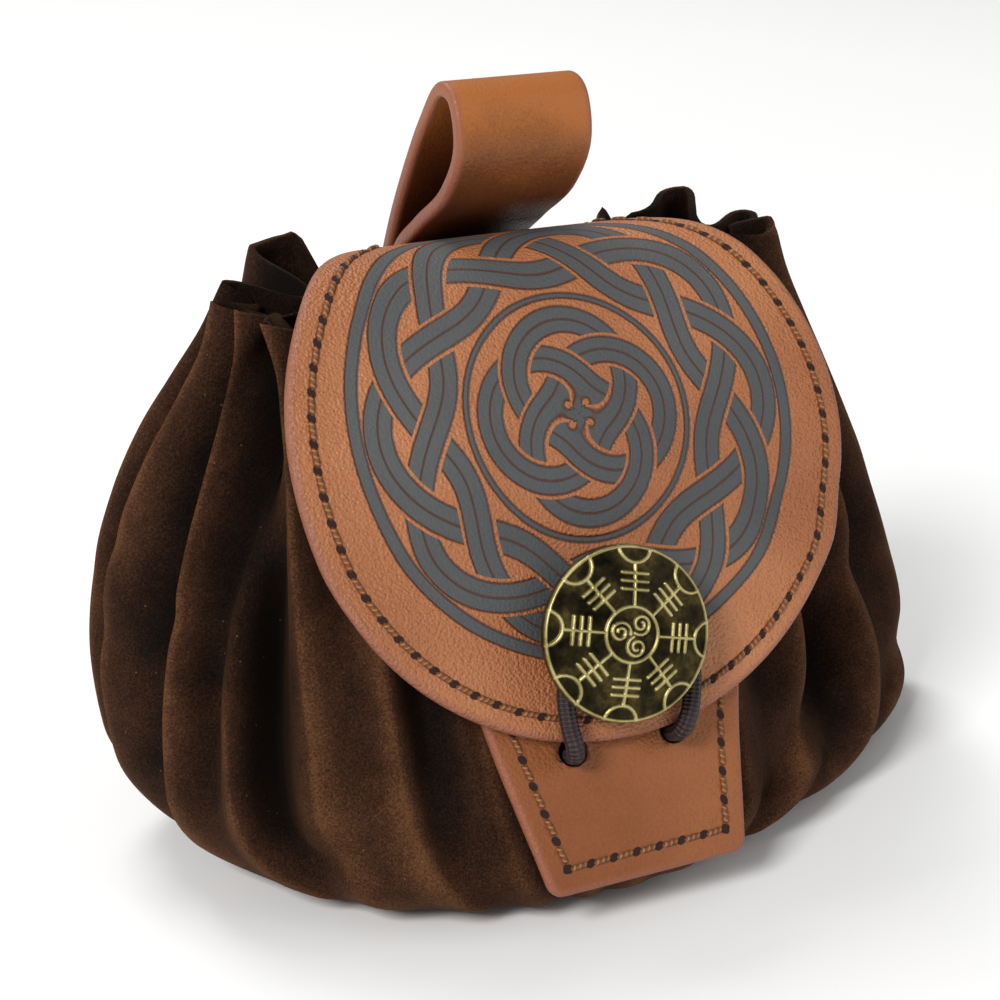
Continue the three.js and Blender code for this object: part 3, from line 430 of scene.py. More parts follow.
def addBag():
    index = np.repeat(np.arange(len(crests)), bag["columnsPerPleat"])
    step = np.tile(np.arange(bag["columnsPerPleat"]) / bag["columnsPerPleat"], len(crests))
    start = 1 / (len(bag["level"]) - 1)
    rises = (start + (1 - start) * np.linspace(0, 1, bag["rows"]))[:, None] + 0 * step[None, :]
    place = valleyPlace(index[None, :], rises)
    share = np.where(step < 0.5, 2 * step * place, place + (2 * step - 1) * (1 - place))
    outer, outerHollow, outward = pleatedPoint(index[None, :], share, rises)
    normals = np.cross(np.roll(outer, -1, 1) - np.roll(outer, 1, 1), np.gradient(outer, axis=0))
    # Where the folds crowd, the inner skin follows the bag's own slope.
    normals = unit(normals + outward * bag["innerEase"])
    picked = np.linspace(bag["rows"] - 1, 0, bag["innerRows"]).astype(int)
    inner = outer[picked] - normals[picked] * bag["suede"]
    outer = pressed(outer.reshape(-1, 3), leather["gap"])
    inner = pressed(inner.reshape(-1, 3), leather["gap"] + bag["suede"])
    columns, rows = len(index), bag["rows"] + bag["innerRows"]
    points = np.vstack([outer, inner, [[0, 0, 0], [0, 0, bag["suede"]]]]) * mm
    faces = gridFaces(rows, columns)
    for j in range(columns):
        k = (j + 1) % columns
        faces.append((k, j, rows * columns))
        faces.append(((rows - 1) * columns + j, (rows - 1) * columns + k, rows * columns + 1))
    piece = meshPiece("suede_body", points, faces, [suedeMaterial()])
    # the fold's depth at each point, which the suede's colour turns into painted shade in the valleys
    hollow = piece.data.attributes.new("hollow", "FLOAT", "POINT")
    # the inner skin gets one fixed value, a painted shade darker than the outside
    inside = bag["insidePaintedShade"]
    values = np.concatenate([outerHollow.ravel(), np.full(len(inner), inside), [0, inside]])
    hollow.data.foreach_set("value", values.astype(np.float32))
    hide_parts("suede_bag")


addBag()
print("bag made")


# The leather flap, tab and loop

roundel = {
    "middle": 56.6, "outer": 42.4, "band": 1.1, "inner": 21.0, "innerBand": 0.5,
    "knots": [  # bights, middle radius, reach, half the strand's width, gap where a strand passes under
        (10, 31.2, 6.2, 2.5, 0.75), (4, 11.2, 5.6, 2.3, 0.75)],
    "strands": 3, "scribe": 0.17,
}


def roundelEdge(tree, place):
    # How far inside the burnt pattern's edge a place is, in millimetres, and how near a strand's middle: two
    # interlaced rings of three strands each, and two round borders.
    offset = addNode(tree, "VectorMath", {"operation": "SUBTRACT", 1: (0, flapStart + roundel["middle"], 0)},
                     {0: place})
    parts = addNode(tree, "SeparateXYZ", links={0: offset})
    across, up = parts.outputs[0], parts.outputs[1]
    flatPlace = addNode(tree, "CombineXYZ", links={0: across, 1: up})
    radius = addNode(tree, "VectorMath", {"operation": "LENGTH"}, {0: flatPlace}).outputs["Value"]
    angle = addNode(tree, "Math", {"operation": "ARCTAN2"}, {0: up, 1: across})
    edges, scribes = [], []
    for bights, middle, reach, half, underGap in roundel["knots"]:
        strands = []
        for k in range(roundel["strands"]):
            turns = bights / roundel["strands"]
            phase = addNode(tree, "Math", {"operation": "MULTIPLY_ADD", 1: turns, 2: tau * k * turns},
                            {0: angle})
            cosine = addNode(tree, "Math", {"operation": "COSINE"}, {0: phase})
            sine = addNode(tree, "Math", {"operation": "SINE"}, {0: phase})
            wave = addNode(tree, "Math", {"operation": "MULTIPLY_ADD", 1: reach, 2: middle}, {0: cosine})
            aside = addNode(tree, "Math", {"operation": "SUBTRACT"}, {0: radius, 1: wave})
            slope = addNode(tree, "Math", {"operation": "MULTIPLY", 1: reach * turns}, {0: sine})
            slope = addNode(tree, "Math", {"operation": "DIVIDE"}, {0: slope, 1: radius})
            square = addNode(tree, "Math", {"operation": "MULTIPLY_ADD", 2: 1.0}, {0: slope, 1: slope})
            stretch = addNode(tree, "Math", {"operation": "SQRT"}, {0: square})
            away = addNode(tree, "Math", {"operation": "DIVIDE"}, {0: aside, 1: stretch})
            away = addNode(tree, "Math", {"operation": "ABSOLUTE"}, {0: away})
            near = addNode(tree, "Math", {"operation": "LESS_THAN", 1: half + underGap}, {0: away})
            double = addNode(tree, "Math", {"operation": "MULTIPLY"}, {0: sine, 1: cosine})
            over = addNode(tree, "Math", {"operation": "ADD", 1: 2.0}, {0: double})
            height = addNode(tree, "Math", {"operation": "MULTIPLY"}, {0: over, 1: near})
            strands.append((height, away))
        top = strands[0][0]
        for height, _ in strands[1:]:
            top = addNode(tree, "Math", {"operation": "MAXIMUM"}, {0: top, 1: height})
        best = None
        for height, away in strands:
            isTop = addNode(tree, "Math", {"operation": "COMPARE", 2: 1e-4}, {0: height, 1: top})
            inside = addNode(tree, "Math", {"operation": "SUBTRACT", 0: half + 100.0}, {1: away})
            kept = addNode(tree, "Math", {"operation": "MULTIPLY"}, {0: inside, 1: isTop})
            best = kept if best is None else addNode(
                tree, "Math", {"operation": "MAXIMUM"}, {0: best, 1: kept})
        edge = addNode(tree, "Math", {"operation": "SUBTRACT", 1: 100.0}, {0: best})
        edges.append(edge)
        scribes.append(addNode(tree, "Math", {"operation": "SUBTRACT", 1: half - roundel["scribe"]},
                               {0: edge}))
    for middle, half in ((roundel["outer"] - roundel["band"], roundel["band"]),
                         (roundel["inner"], roundel["innerBand"])):
        aside = addNode(tree, "Math", {"operation": "SUBTRACT", 1: middle}, {0: radius})
        aside = addNode(tree, "Math", {"operation": "ABSOLUTE"}, {0: aside})
        edges.append(addNode(tree, "Math", {"operation": "SUBTRACT", 0: half}, {1: aside}))
    edge, scribe = edges[0], scribes[0]
    for other in edges[1:]:
        edge = addNode(tree, "Math", {"operation": "MAXIMUM"}, {0: edge, 1: other})
    for other in scribes[1:]:
        scribe = addNode(tree, "Math", {"operation": "MAXIMUM"}, {0: scribe, 1: other})
    return edge, scribe


hides = {  # dark, middle and light tones, how high the grain stands, and how much lighter the top is, as painted light
    # the tab's tones are the flap's leather made darker, a painted shade for its steeper slope away from the
    # light
    "flap": ("#8e522c", "#a4643a", "#b7774c", 0.19, 0), "tab": ("#743d20", "#894f2a", "#9a5e35", 0.12, 0),
    # the loop's dark tones are painted shade, and its lighter top is painted light
    "loop": ("#3f1c0c", "#683714", "#a3612d", 0.05, 0.6), "edge": "#8f5740",
}


def leatherMaterial(name, hide, burnt=False):
    # Vegetable-tanned cowhide: a fine pebbled grain with a soft gloss and edges burnished smooth. Its pebbles
    # are 0.6 mm and its pores 0.45 mm apart, and clouds of tone are 45 mm across.
    *tones, grainHeight, paintedTopLight = hides[hide]
    material, tree, surface = newMaterial(name, Specular_IOR_Level=0.5 if burnt else 0.3)
    flat = addNode(tree, "Attribute", {"attribute_name": "flat"}).outputs["Vector"]
    place = addNode(tree, "TexCoord").outputs["Object"]
    margin = addNode(tree, "SeparateXYZ", links={0: flat}).outputs[2]
    clouds = addNode(tree, "TexNoise", {"Scale": 22, "Detail": 4}, {"Vector": place})
    pores = addNode(tree, "TexNoise", {"Scale": 2200, "Detail": 2, "Roughness": 0.6}, {"Vector": place})
    pebble = addNode(tree, "TexVoronoi", {"Scale": 1700, "feature": "SMOOTH_F1", "Smoothness": 0.4},
                     {"Vector": place})
    blotchAndPaintedLight = addNode(tree, "Math", {"operation": "MULTIPLY_ADD", 1: 0.25}, {0: pores, 2: clouds})
    if paintedTopLight:  # painted light and shade: lighter towards the top and darker lower down, set by height
        up = addNode(tree, "SeparateXYZ", links={0: place}).outputs[2]
        wearAndPaintedLight = addNode(tree, "MapRange", {1: 0.106, 2: 0.138, 3: -paintedTopLight / 2, 4: paintedTopLight / 2}, {0: up})
        blotchAndPaintedLight = addNode(tree, "Math", {"operation": "ADD"}, {0: blotchAndPaintedLight, 1: wearAndPaintedLight})
    tanned = addNode(tree, "ValToRGB", {"ramp": [
        (0.35, tones[0]), (0.6, tones[1]), (0.85, tones[2])]}, {0: blotchAndPaintedLight})
    rim = addNode(tree, "MapRange", {1: 1.5, 2: 0.5, 3: 0.0, 4: 0.85}, {0: margin})
    colour = addNode(tree, "Mix", {"data_type": "RGBA", 7: toLinear(hides["edge"])},
                     {0: rim, 6: tanned}).outputs[2]
    grain = addNode(tree, "Math", {"operation": "MULTIPLY_ADD", 1: -1.6},
                    {0: pebble.outputs["Distance"], 2: pores})
    roughness = addNode(tree, "MapRange", {1: 0.3, 2: 0.7, 3: 0.36, 4: 0.54}, {0: pores})
    height = grain
    if burnt:
        edge, scribe = roundelEdge(tree, flat)
        dark = addNode(tree, "MapRange", {1: -0.1, 2: 0.1}, {0: edge})
        slate = addNode(tree, "ValToRGB", {"ramp": [
            (0.35, "#3a3c3d"), (0.6, "#494b4c"), (0.85, "#565656")]}, {0: blotchAndPaintedLight})
        colour = addNode(tree, "Mix", {"data_type": "RGBA"}, {0: dark, 6: colour, 7: slate}).outputs[2]
        near = addNode(tree, "Math", {"operation": "ABSOLUTE"}, {0: edge})
        rimLine = addNode(tree, "MapRange", {1: 0.32, 2: 0.1, 3: 0.0, 4: 0.8}, {0: near})
        scribed = addNode(tree, "MapRange", {1: -0.1, 2: 0.05, 3: 0.0, 4: 0.85}, {0: scribe})
        line = addNode(tree, "Math", {"operation": "MAXIMUM"}, {0: rimLine, 1: scribed})
        colour = addNode(tree, "Mix", {"data_type": "RGBA", 7: toLinear("#4a2614")},
                         {0: line, 6: colour}).outputs[2]
        smoother = addNode(tree, "Math", {"operation": "MULTIPLY_ADD", 1: -0.65, 2: 1.0}, {0: dark})
        grain = addNode(tree, "Math", {"operation": "MULTIPLY"}, {0: grain, 1: smoother})
        sunk = addNode(tree, "Math", {"operation": "MULTIPLY_ADD", 1: -1.2}, {0: dark, 2: grain})
        height = addNode(tree, "Math", {"operation": "MULTIPLY_ADD", 1: -0.8}, {0: line, 2: sunk})
        roughness = addNode(tree, "Mix", {"data_type": "FLOAT", 3: 0.7}, {0: dark, 2: roughness})
    bump = addNode(tree, "Bump", {"Strength": 1.0, "Distance": grainHeight * mm}, {"Height": height})
    linkTo(tree, surface, {"Base Color": colour, "Roughness": roughness, "Normal": bump})
    return material


def inwardOf(outline):  # the directions that point into an anticlockwise outline
    tangent = unit(np.roll(outline, -1, 0) - np.roll(outline, 1, 0))
    return np.stack([-tangent[:, 1], tangent[:, 0]], 1)


def outlineSheet(outline, spine, thickness, rings):  # a flat sheet with round edges, from its outline inwards
    inward = inwardOf(outline)
    radius = min(leather["edgeRound"], thickness / 2)
    turns = np.linspace(0, math.pi / 2, leather["edgeSteps"] + 1)
    lower = [(radius * (1 - math.sin(t)), radius * (1 - math.cos(t))) for t in turns]
    upper = [(inset, thickness - height) for inset, height in reversed(lower)]
    start = outline + inward * radius
    under = [(start + (spine - start) * share, 0) for share in np.linspace(1, 0, leather["underRings"])[:-1]]
    edge = [(outline + inward * inset, height) for inset, height in lower + upper]
    over = [(start + (spine - start) * share, thickness) for share in np.linspace(0, 1, rings)[1:]]
    rows = under + edge + over
    points = np.vstack([np.column_stack([ring, np.full(len(ring), float(height))]) for ring, height in rows])
    return points, gridFaces(len(rows), len(outline))


def fromSegment(points, a, b):  # how far flat points are from a straight line between two places
    way = b - a
    t = np.clip(((points - a) @ way) / (way @ way), 0, 1)
    return np.linalg.norm(points - a - t[:, None] * way, axis=1)


def edgeDistance(points, outline):  # how far inside the outline each flat point is
    least = np.inf
    for a, b in zip(outline, np.roll(outline, -1, 0)):
        least = np.minimum(least, fromSegment(points[:, :2], a, b))
    return least


def evenly(points, spacing):  # a closed line's points, moved to an even spacing
    closed = np.vstack([points, points[:1]])
    lengths = lengthsAlong(closed)
    count = int(lengths[-1] / spacing)
    return pointsAt(np.arange(count) / count * lengths[-1], lengths, closed)


def flapOutline():  # anticlockwise, seen from outside the leather
    turns = np.linspace(-math.pi / 2, 0, 90)
    reach, corner = leather["flapRadius"], leather["panelCorner"]
    lower = [(reach * math.cos(t), flapMiddle + reach * math.sin(t)) for t in turns]
    ats = np.concatenate([np.linspace(flapMiddle, panelEnd - corner, 200),
                          panelEnd - corner * (1 - np.sin(np.linspace(0, math.pi / 2, 20)))])
    upper = list(zip(flapHalfWidth(ats), ats))
    right = np.array(lower + upper[1:])
    left = right[::-1] * [-1, 1]
    return evenly(np.vstack([right, left[:-1]]), leather["flapStep"])


def tabOutline():
    start, corner = leather["tabStart"], leather["tabCorner"]
    ats = np.concatenate([start + corner * (1 - np.cos(np.linspace(0, math.pi / 2, 12))),
                          np.linspace(start + corner, tabEnd, 40)[1:]])
    right = np.stack([tabHalfWidth(ats), ats], 1)
    left = right[::-1] * [-1, 1]
    return evenly(np.vstack([right, left]), leather["tabStep"])


def spineOf(outline, low, high):  # the middle line that a sheet's rings shrink to
    return np.stack([0 * outline[:, 0], np.clip(outline[:, 1], low, high)], 1)


def addFlap(material):
    outline = flapOutline()
    spine = spineOf(outline, flapMiddle, panelEnd - leather["flapSpine"])
    points, faces = outlineSheet(outline, spine, leather["flapLeather"], leather["flapRings"])
    flat = np.column_stack([points[:, :2], edgeDistance(points, outline)])
    piece = meshPiece("leather_flap", layOnLine(points, flapLift), faces, [material], flat)
    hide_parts("flap_and_back_panel")


cordHoles = {"radius": 2.8, "spacing": 20, "drop": 0.5, "sides": 32, "cut": 20, "worn": 0.4}


def addTab(material):
    outline, inset = tabOutline(), leather["tabSpine"]
    spine = spineOf(outline, leather["tabStart"] + inset, tabEnd - inset)
    points, faces = outlineSheet(outline, spine, leather["tabLeather"], leather["tabRings"])
    sheet = meshPiece("leather_tab", points, faces, [material])
    holes = [(side * cordHoles["spacing"] / 2, flapStart - cordHoles["drop"]) for side in (-1, 1)]
    for across, up in holes:
        bpy.ops.mesh.primitive_cylinder_add(vertices=cordHoles["sides"], radius=cordHoles["radius"],
                                            depth=cordHoles["cut"], location=(across, up, 0))
        punch = bpy.context.object
        cut = sheet.modifiers.new("hole", "BOOLEAN")
        cut.object = punch
        cut.operation = "DIFFERENCE"
        cut.solver = "EXACT"
        bpy.context.view_layer.objects.active = sheet
        bpy.ops.object.modifier_apply(modifier="hole")
        bpy.data.objects.remove(punch)
    flatPoints = np.array([v.co for v in sheet.data.vertices])
    margin = edgeDistance(flatPoints, outline)
    for hole in holes:
        away = np.linalg.norm(flatPoints[:, :2] - hole, axis=1) - cordHoles["radius"] + cordHoles["worn"]
        margin = np.minimum(margin, away)
    place = sheet.data.attributes.new("flat", "FLOAT_VECTOR", "POINT")
    place.data.foreach_set("vector", np.column_stack([flatPoints[:, :2], margin]).astype(np.float32).ravel())
    flatPoints[:, 0] += leather["tabShift"]
    laid = layOnLine(flatPoints, lambda at: leather["gap"] + 0 * at)
    sheet.data.vertices.foreach_set("co", laid.astype(np.float32).ravel())
    sheet.data.update()
    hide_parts("front_tab")


loop = {
    "width": 26.3, "leather": 2.8, "rise": 38.3, "lean": 30, "rootAt": 22, "margin": 10, "round": 0.9,
    "steps": 260, "cornerSteps": 4, "faceSteps": 8, "edgeReach": 9,
    "rows": [(0.0, 0.16), (0.2, 0.43), (0.52, 0.78), (0.76, 0.96), (0.92, 0.93), (0.99, 0.72), (0.8, 0.49),
             (0.42, 0.29), (0.1, 0.1)],
}


def addLoop(material):
    thick, gap = loop["leather"], leather["gap"]

    def onPanel(at, layer):
        point, _, out = placeOnLine(np.array([crestAt + at]))
        return (point + out * (gap + leather["flapLeather"] + gap + thick / 2 + layer * (thick + gap)))[0]

    root = onPanel(loop["rootAt"], 0.5)
    ends = [loop["rootAt"] + (leather["panelLength"] - loop["margin"] - loop["rootAt"]) * share
            for share in (1, 0.7, 0.4)]
    outside, inside = [onPanel(at, 1) for at in ends], [onPanel(at, 0) for at in reversed(ends)]
    middle = [(0, root[1] - lean * loop["lean"], root[2] + up * loop["rise"]) for lean, up in loop["rows"]]
    line, lengths = smoothCurve(outside + middle + inside)
    ats = np.linspace(0, lengths[-1], loop["steps"])
    centre = pointsAt(ats, lengths, line)
    tangent = unit(np.gradient(centre, axis=0))
    normal = np.stack([0 * ats, -tangent[:, 2], tangent[:, 1]], 1)
    corner, half = loop["round"], loop["width"] / 2
    ring = []
    for sideX, sideN, start in ((1, 1, 0), (-1, 1, 1), (-1, -1, 2), (1, -1, 3)):
        for k in range(loop["cornerSteps"] + 1):
            turn = (start + k / loop["cornerSteps"]) * math.pi / 2
            ring.append((sideX * (half - corner) + corner * math.cos(turn),
                         sideN * (thick / 2 - corner) + corner * math.sin(turn)))
        if start in (0, 2):
            for share in np.linspace(0, 1, loop["faceSteps"] + 1)[1:-1]:
                ring.append((sideX * (half - corner) * (1 - 2 * share), sideN * thick / 2))
    ring = np.array(ring)
    points = centre[:, None, :] + normal[:, None, :] * ring[None, :, 1:2]
    points[:, :, 0] += ring[None, :, 0]
    margin = np.minimum(half - abs(ring[:, 0]), loop["edgeReach"])
    flat = np.stack(np.broadcast_arrays(ring[None, :, 0], ats[:, None], margin[None, :]), -1)
    points, flat = points.reshape(-1, 3), flat.reshape(-1, 3)
    faces = tubeFaces(len(ats), len(ring))
    piece = meshPiece("leather_loop", points * mm, faces, [material], flat)
    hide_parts("belt_loop")


addFlap(leatherMaterial("burnt_cowhide", "flap", burnt=True))
addTab(leatherMaterial("tab_cowhide_painted_shade", "tab"))
addLoop(leatherMaterial("strap_cowhide_painted_light_and_shade", "loop"))
print("leather made")


# The stitching

stitch = {
    "pitch": 4.3, "inset": 4.0, "tabInset": 4.3, "underFlap": 5,
    "length": 3.5, "radius": 0.45, "slant": 6, "sunk": 0.25, "arch": 0.42, "taper": 0.55, "twist": 1.1,
    "sides": 8, "steps": 7,
    "holeLong": 1.0, "holeWide": 0.72, "holeTurn": 30, "holeSides": 10, "holeLift": 0.04,
    "crease": 0.62, "creaseSteps": 4, "creaseLift": 0.02,
}


def threadMaterial():
    # Waxed polyester thread, twisted: a soft gloss, and darker in the gaps between its strands, which is
    # painted shade.
    material, tree, surface = newMaterial("waxed_thread", Roughness=0.6)
    flat = addNode(tree, "Attribute", {"attribute_name": "flat"}).outputs["Vector"]
    parts = addNode(tree, "SeparateXYZ", links={0: flat})
    turned = addNode(tree, "Math", {"operation": "MULTIPLY_ADD", 1: tau / stitch["twist"]},
                     {0: parts.outputs[0], 2: parts.outputs[1]})
    twist = addNode(tree, "Math", {"operation": "SINE"}, {0: turned})
    # painted shade: darker where the twist dips between strands
    colour = addNode(tree, "ValToRGB", {"ramp": [
        (0.0, "#6e401e"), (0.5, "#8b5a31"), (1.0, "#9d693a")]}, {0: twist})
    bump = addNode(tree, "Bump", {"Strength": 0.5, "Distance": 0.2 * mm}, {"Height": twist})
    linkTo(tree, surface, {"Base Color": colour, "Normal": bump})
    return material


def holeMaterial():
    # The inside of a punched hole in leather: raw fibres in shadow.
    material, tree, surface = newMaterial("punched_hole", Roughness=0.9)
    place = addNode(tree, "TexCoord").outputs["Object"]
    fibres = addNode(tree, "TexNoise", {"Scale": 2500}, {"Vector": place})
    colour = addNode(tree, "ValToRGB", {"ramp": [(0.3, "#180602"), (0.7, "#321005")]}, {0: fibres})
    linkTo(tree, surface, {"Base Color": colour})
    return material


def creaseMaterial():
    # The crease that the tight thread presses into the cowhide: a flat strip darker than the leather, which
    # is painted shade, and a little polished.
    material, tree, surface = newMaterial("crease_painted_shade", Roughness=0.55)
    place = addNode(tree, "TexCoord").outputs["Object"]
    pores = addNode(tree, "TexNoise", {"Scale": 1500, "Detail": 2}, {"Vector": place})
    colour = addNode(tree, "ValToRGB", {"ramp": [(0.3, "#64361b"), (0.7, "#7f4a29")]}, {0: pores})
    linkTo(tree, surface, {"Base Color": colour})
    return material


def stitchRow(line, thickness):  # flat points of threads, of the holes between them and of the crease below, a strip of painted shade
    lengths = lengthsAlong(line)
    count = int(lengths[-1] / stitch["pitch"])
    spots = pointsAt(np.arange(count + 1) * (lengths[-1] / count), lengths, line)
    sides, steps, creaseSteps = stitch["sides"], stitch["steps"], stitch["creaseSteps"]
    points, flats, faces, kinds = [], [], [], []

    def turned(way, degrees):
        c, s = math.cos(math.radians(degrees)), math.sin(math.radians(degrees))
        return np.array([way[0] * c - way[1] * s, way[0] * s + way[1] * c])

    def addPart(kind, partFaces, partPoints, partFlats=None):
        faces.extend(tuple(len(points) + v for v in face) for face in partFaces)
        points.extend(partPoints)
        flats.extend(partFlats or [(0, 0, 0)] * len(partPoints))
        kinds.extend([kind] * len(partFaces))

    for i, hole in enumerate(spots):
        at = i * lengths[-1] / count
        heading = unit(pointsAt(at + 0.5, lengths, line) - pointsAt(at - 0.5, lengths, line))
        longWay = turned(heading, stitch["holeTurn"])
        wideWay = turned(longWay, 90)
        oval = []
        for turn in tau * np.arange(stitch["holeSides"]) / stitch["holeSides"]:
            rim = (hole + longWay * stitch["holeLong"] * math.cos(turn)
                   + wideWay * stitch["holeWide"] * math.sin(turn))
            oval.append((rim[0], rim[1], thickness + stitch["holeLift"]))
        addPart(1, [tuple(range(stitch["holeSides"]))], oval)
        if i == count:
            break
        step = spots[i + 1] - hole
        forward = unit(step)
        aside = turned(forward, 90) * stitch["crease"]
        edges = [hole + step * a / creaseSteps + aside * side
                 for a in range(creaseSteps + 1) for side in (1, -1)]
        addPart(2, [(2 * a, 2 * a + 1, 2 * a + 3, 2 * a + 2) for a in range(creaseSteps)],
                [(spot[0], spot[1], thickness + stitch["creaseLift"]) for spot in edges])
        forward = turned(forward, stitch["slant"])
        aside = turned(forward, 90)
        thread, threadFlats = [], []
        for share in np.linspace(-1, 1, steps):
            radius = stitch["radius"] * (stitch["taper"] + (1 - stitch["taper"]) * math.sqrt(1 - share ** 6))
            rise = thickness - stitch["sunk"] + stitch["arch"] * (1 - share ** 4)
            middle = hole + step / 2 + forward * share * stitch["length"] / 2
            for turn in tau * np.arange(sides) / sides:
                spot = middle + aside * radius * math.cos(turn)
                thread.append((spot[0], spot[1], rise + radius * math.sin(turn)))
                threadFlats.append((share * stitch["length"] / 2, turn, 0))
        addPart(0, tubeFaces(steps, sides), thread, threadFlats)
    return np.array(points), np.array(flats), faces, kinds


def addStitching():
    materials = [threadMaterial(), holeMaterial(), creaseMaterial()]
    outline = flapOutline()
    outline = outline + inwardOf(outline) * stitch["inset"]
    closed = np.vstack([outline, outline[:1]])
    points, flats, faces, kinds = stitchRow(closed, leather["flapLeather"])
    piece = meshPiece("flap_stitching", layOnLine(points, flapLift), faces, materials, flats)
    piece.data.polygons.foreach_set("material_index", kinds)
    low = leather["tabStart"] + stitch["tabInset"]
    high = flapStart + stitch["underFlap"]
    aside = stitch["tabInset"] * math.hypot(1, leather["tabTaper"])
    corners = [(side * (float(tabHalfWidth(np.array(at))) - aside), at)
               for side, at in ((-1, high), (-1, low), (1, low), (1, high))]
    points, flats, faces, kinds = [], [], [], []
    for pair in zip(corners, corners[1:]):
        rowPoints, rowFlats, rowFaces, rowKinds = stitchRow(np.array(pair), leather["tabLeather"])
        faces += [tuple(len(points) + v for v in face) for face in rowFaces]
        points += list(rowPoints)
        flats += list(rowFlats)
        kinds += rowKinds
    points = np.array(points)
    points[:, 0] += leather["tabShift"]
    laid = layOnLine(points, lambda at: leather["gap"] + 0 * at)
    piece = meshPiece("tab_stitching", laid, faces, materials, flats)
    piece.data.polygons.foreach_set("material_index", kinds)


addStitching()
print("stitching made")


# The cord

button = {  # its post is what the cord goes round
    "radius": 15.2, "edge": 1.6, "dome": 2.4, "rise": 19.3, "shift": -1.5, "turn": 5, "post": 2.4,
    "screw": 0.9, "rimDrop": 0.35, "rimRound": 0.5, "backRound": 0.4, "neck": 0.6, "worn": 0.25,
    "sides": 480, "rings": 96,
    # The cast lines: their height, width and soft edge, and places as shares of the radius.
    "relief": 0.4, "line": 0.5, "soft": 0.14, "spin": -14, "arms": 8, "rimShare": 0.98, "ringShare": 0.312,
    "arcShare": 0.8, "arcWide": 0.2, "bars": (0.504, 0.594, 0.684), "barHalf": 0.155,
    "curls": 3, "eye": 0.125, "eyePlace": 0.15, "eyeTurn": 54, "turns": 1.5, "curlEnd": 0.75,
}

cord = {
    "radius": 1.6, "knot": 3.4, "knotDepth": 9, "bendAt": 0.62, "bendDrop": 0.2, "steps": 420, "sides": 16,
    "braid": 1.5, "strands": 4,
    "route": [
        # Across as a share of the holes' half spacing, up as one of the post's height over them, and above
        # the leather's line as one of the height at which the cord rests on the flap.
        (-1, -0.035, -0.62), (-1, -0.035, 0), (-1.06, -0.035, 0.45), (-1.16, -0.01, 0.85),
        (-1.23, 0.1, 1.05), (-1.27, 0.27, 1.07), (-1.22, 0.58, 1.05), (-0.98, 0.915, 1.04),
        (-0.52, 1.15, 1.04), (-0.05, 1.235, 1.04), (0.45, 1.15, 1.04), (0.98, 0.915, 1.04),
        (1.24, 0.58, 1.05), (1.14, 0.27, 1.07), (1.0, 0.09, 1.05), (0.93, -0.01, 0.85),
        (0.95, -0.035, 0.45), (1, -0.035, 0), (1, -0.035, -0.62)],
}


def cordMaterial():
    # Braided waxed cotton cord: crossing strands with a dull shine, darker between the strands, which is
    # painted shade.
    material, tree, surface = newMaterial("braided_cord", Roughness=0.62)
    flat = addNode(tree, "Attribute", {"attribute_name": "flat"}).outputs["Vector"]
    parts = addNode(tree, "SeparateXYZ", links={0: flat})
    waves = []
    for way in (1, -1):
        turned = addNode(tree, "Math", {"operation": "MULTIPLY", 1: cord["strands"] * way},
                         {0: parts.outputs[1]})
        turned = addNode(tree, "Math", {"operation": "MULTIPLY_ADD", 1: tau / cord["braid"]},
                         {0: parts.outputs[0], 2: turned})
        waves.append(addNode(tree, "Math", {"operation": "SINE"}, {0: turned}))
    braid = addNode(tree, "Math", {"operation": "MULTIPLY"}, {0: waves[0], 1: waves[1]})
    colour = addNode(tree, "MapRange", {1: -1, 2: 1}, {0: braid})
    # painted shade: darker where the braid dips between strands
    ramp = addNode(tree, "ValToRGB", {"ramp": [
        (0.0, "#120a0b"), (0.5, "#2a1a1b"), (1.0, "#453034")]}, {0: colour})
    bump = addNode(tree, "Bump", {"Strength": 0.9, "Distance": 0.3 * mm}, {"Height": braid})
    linkTo(tree, surface, {"Base Color": ramp, "Normal": bump})
    return material


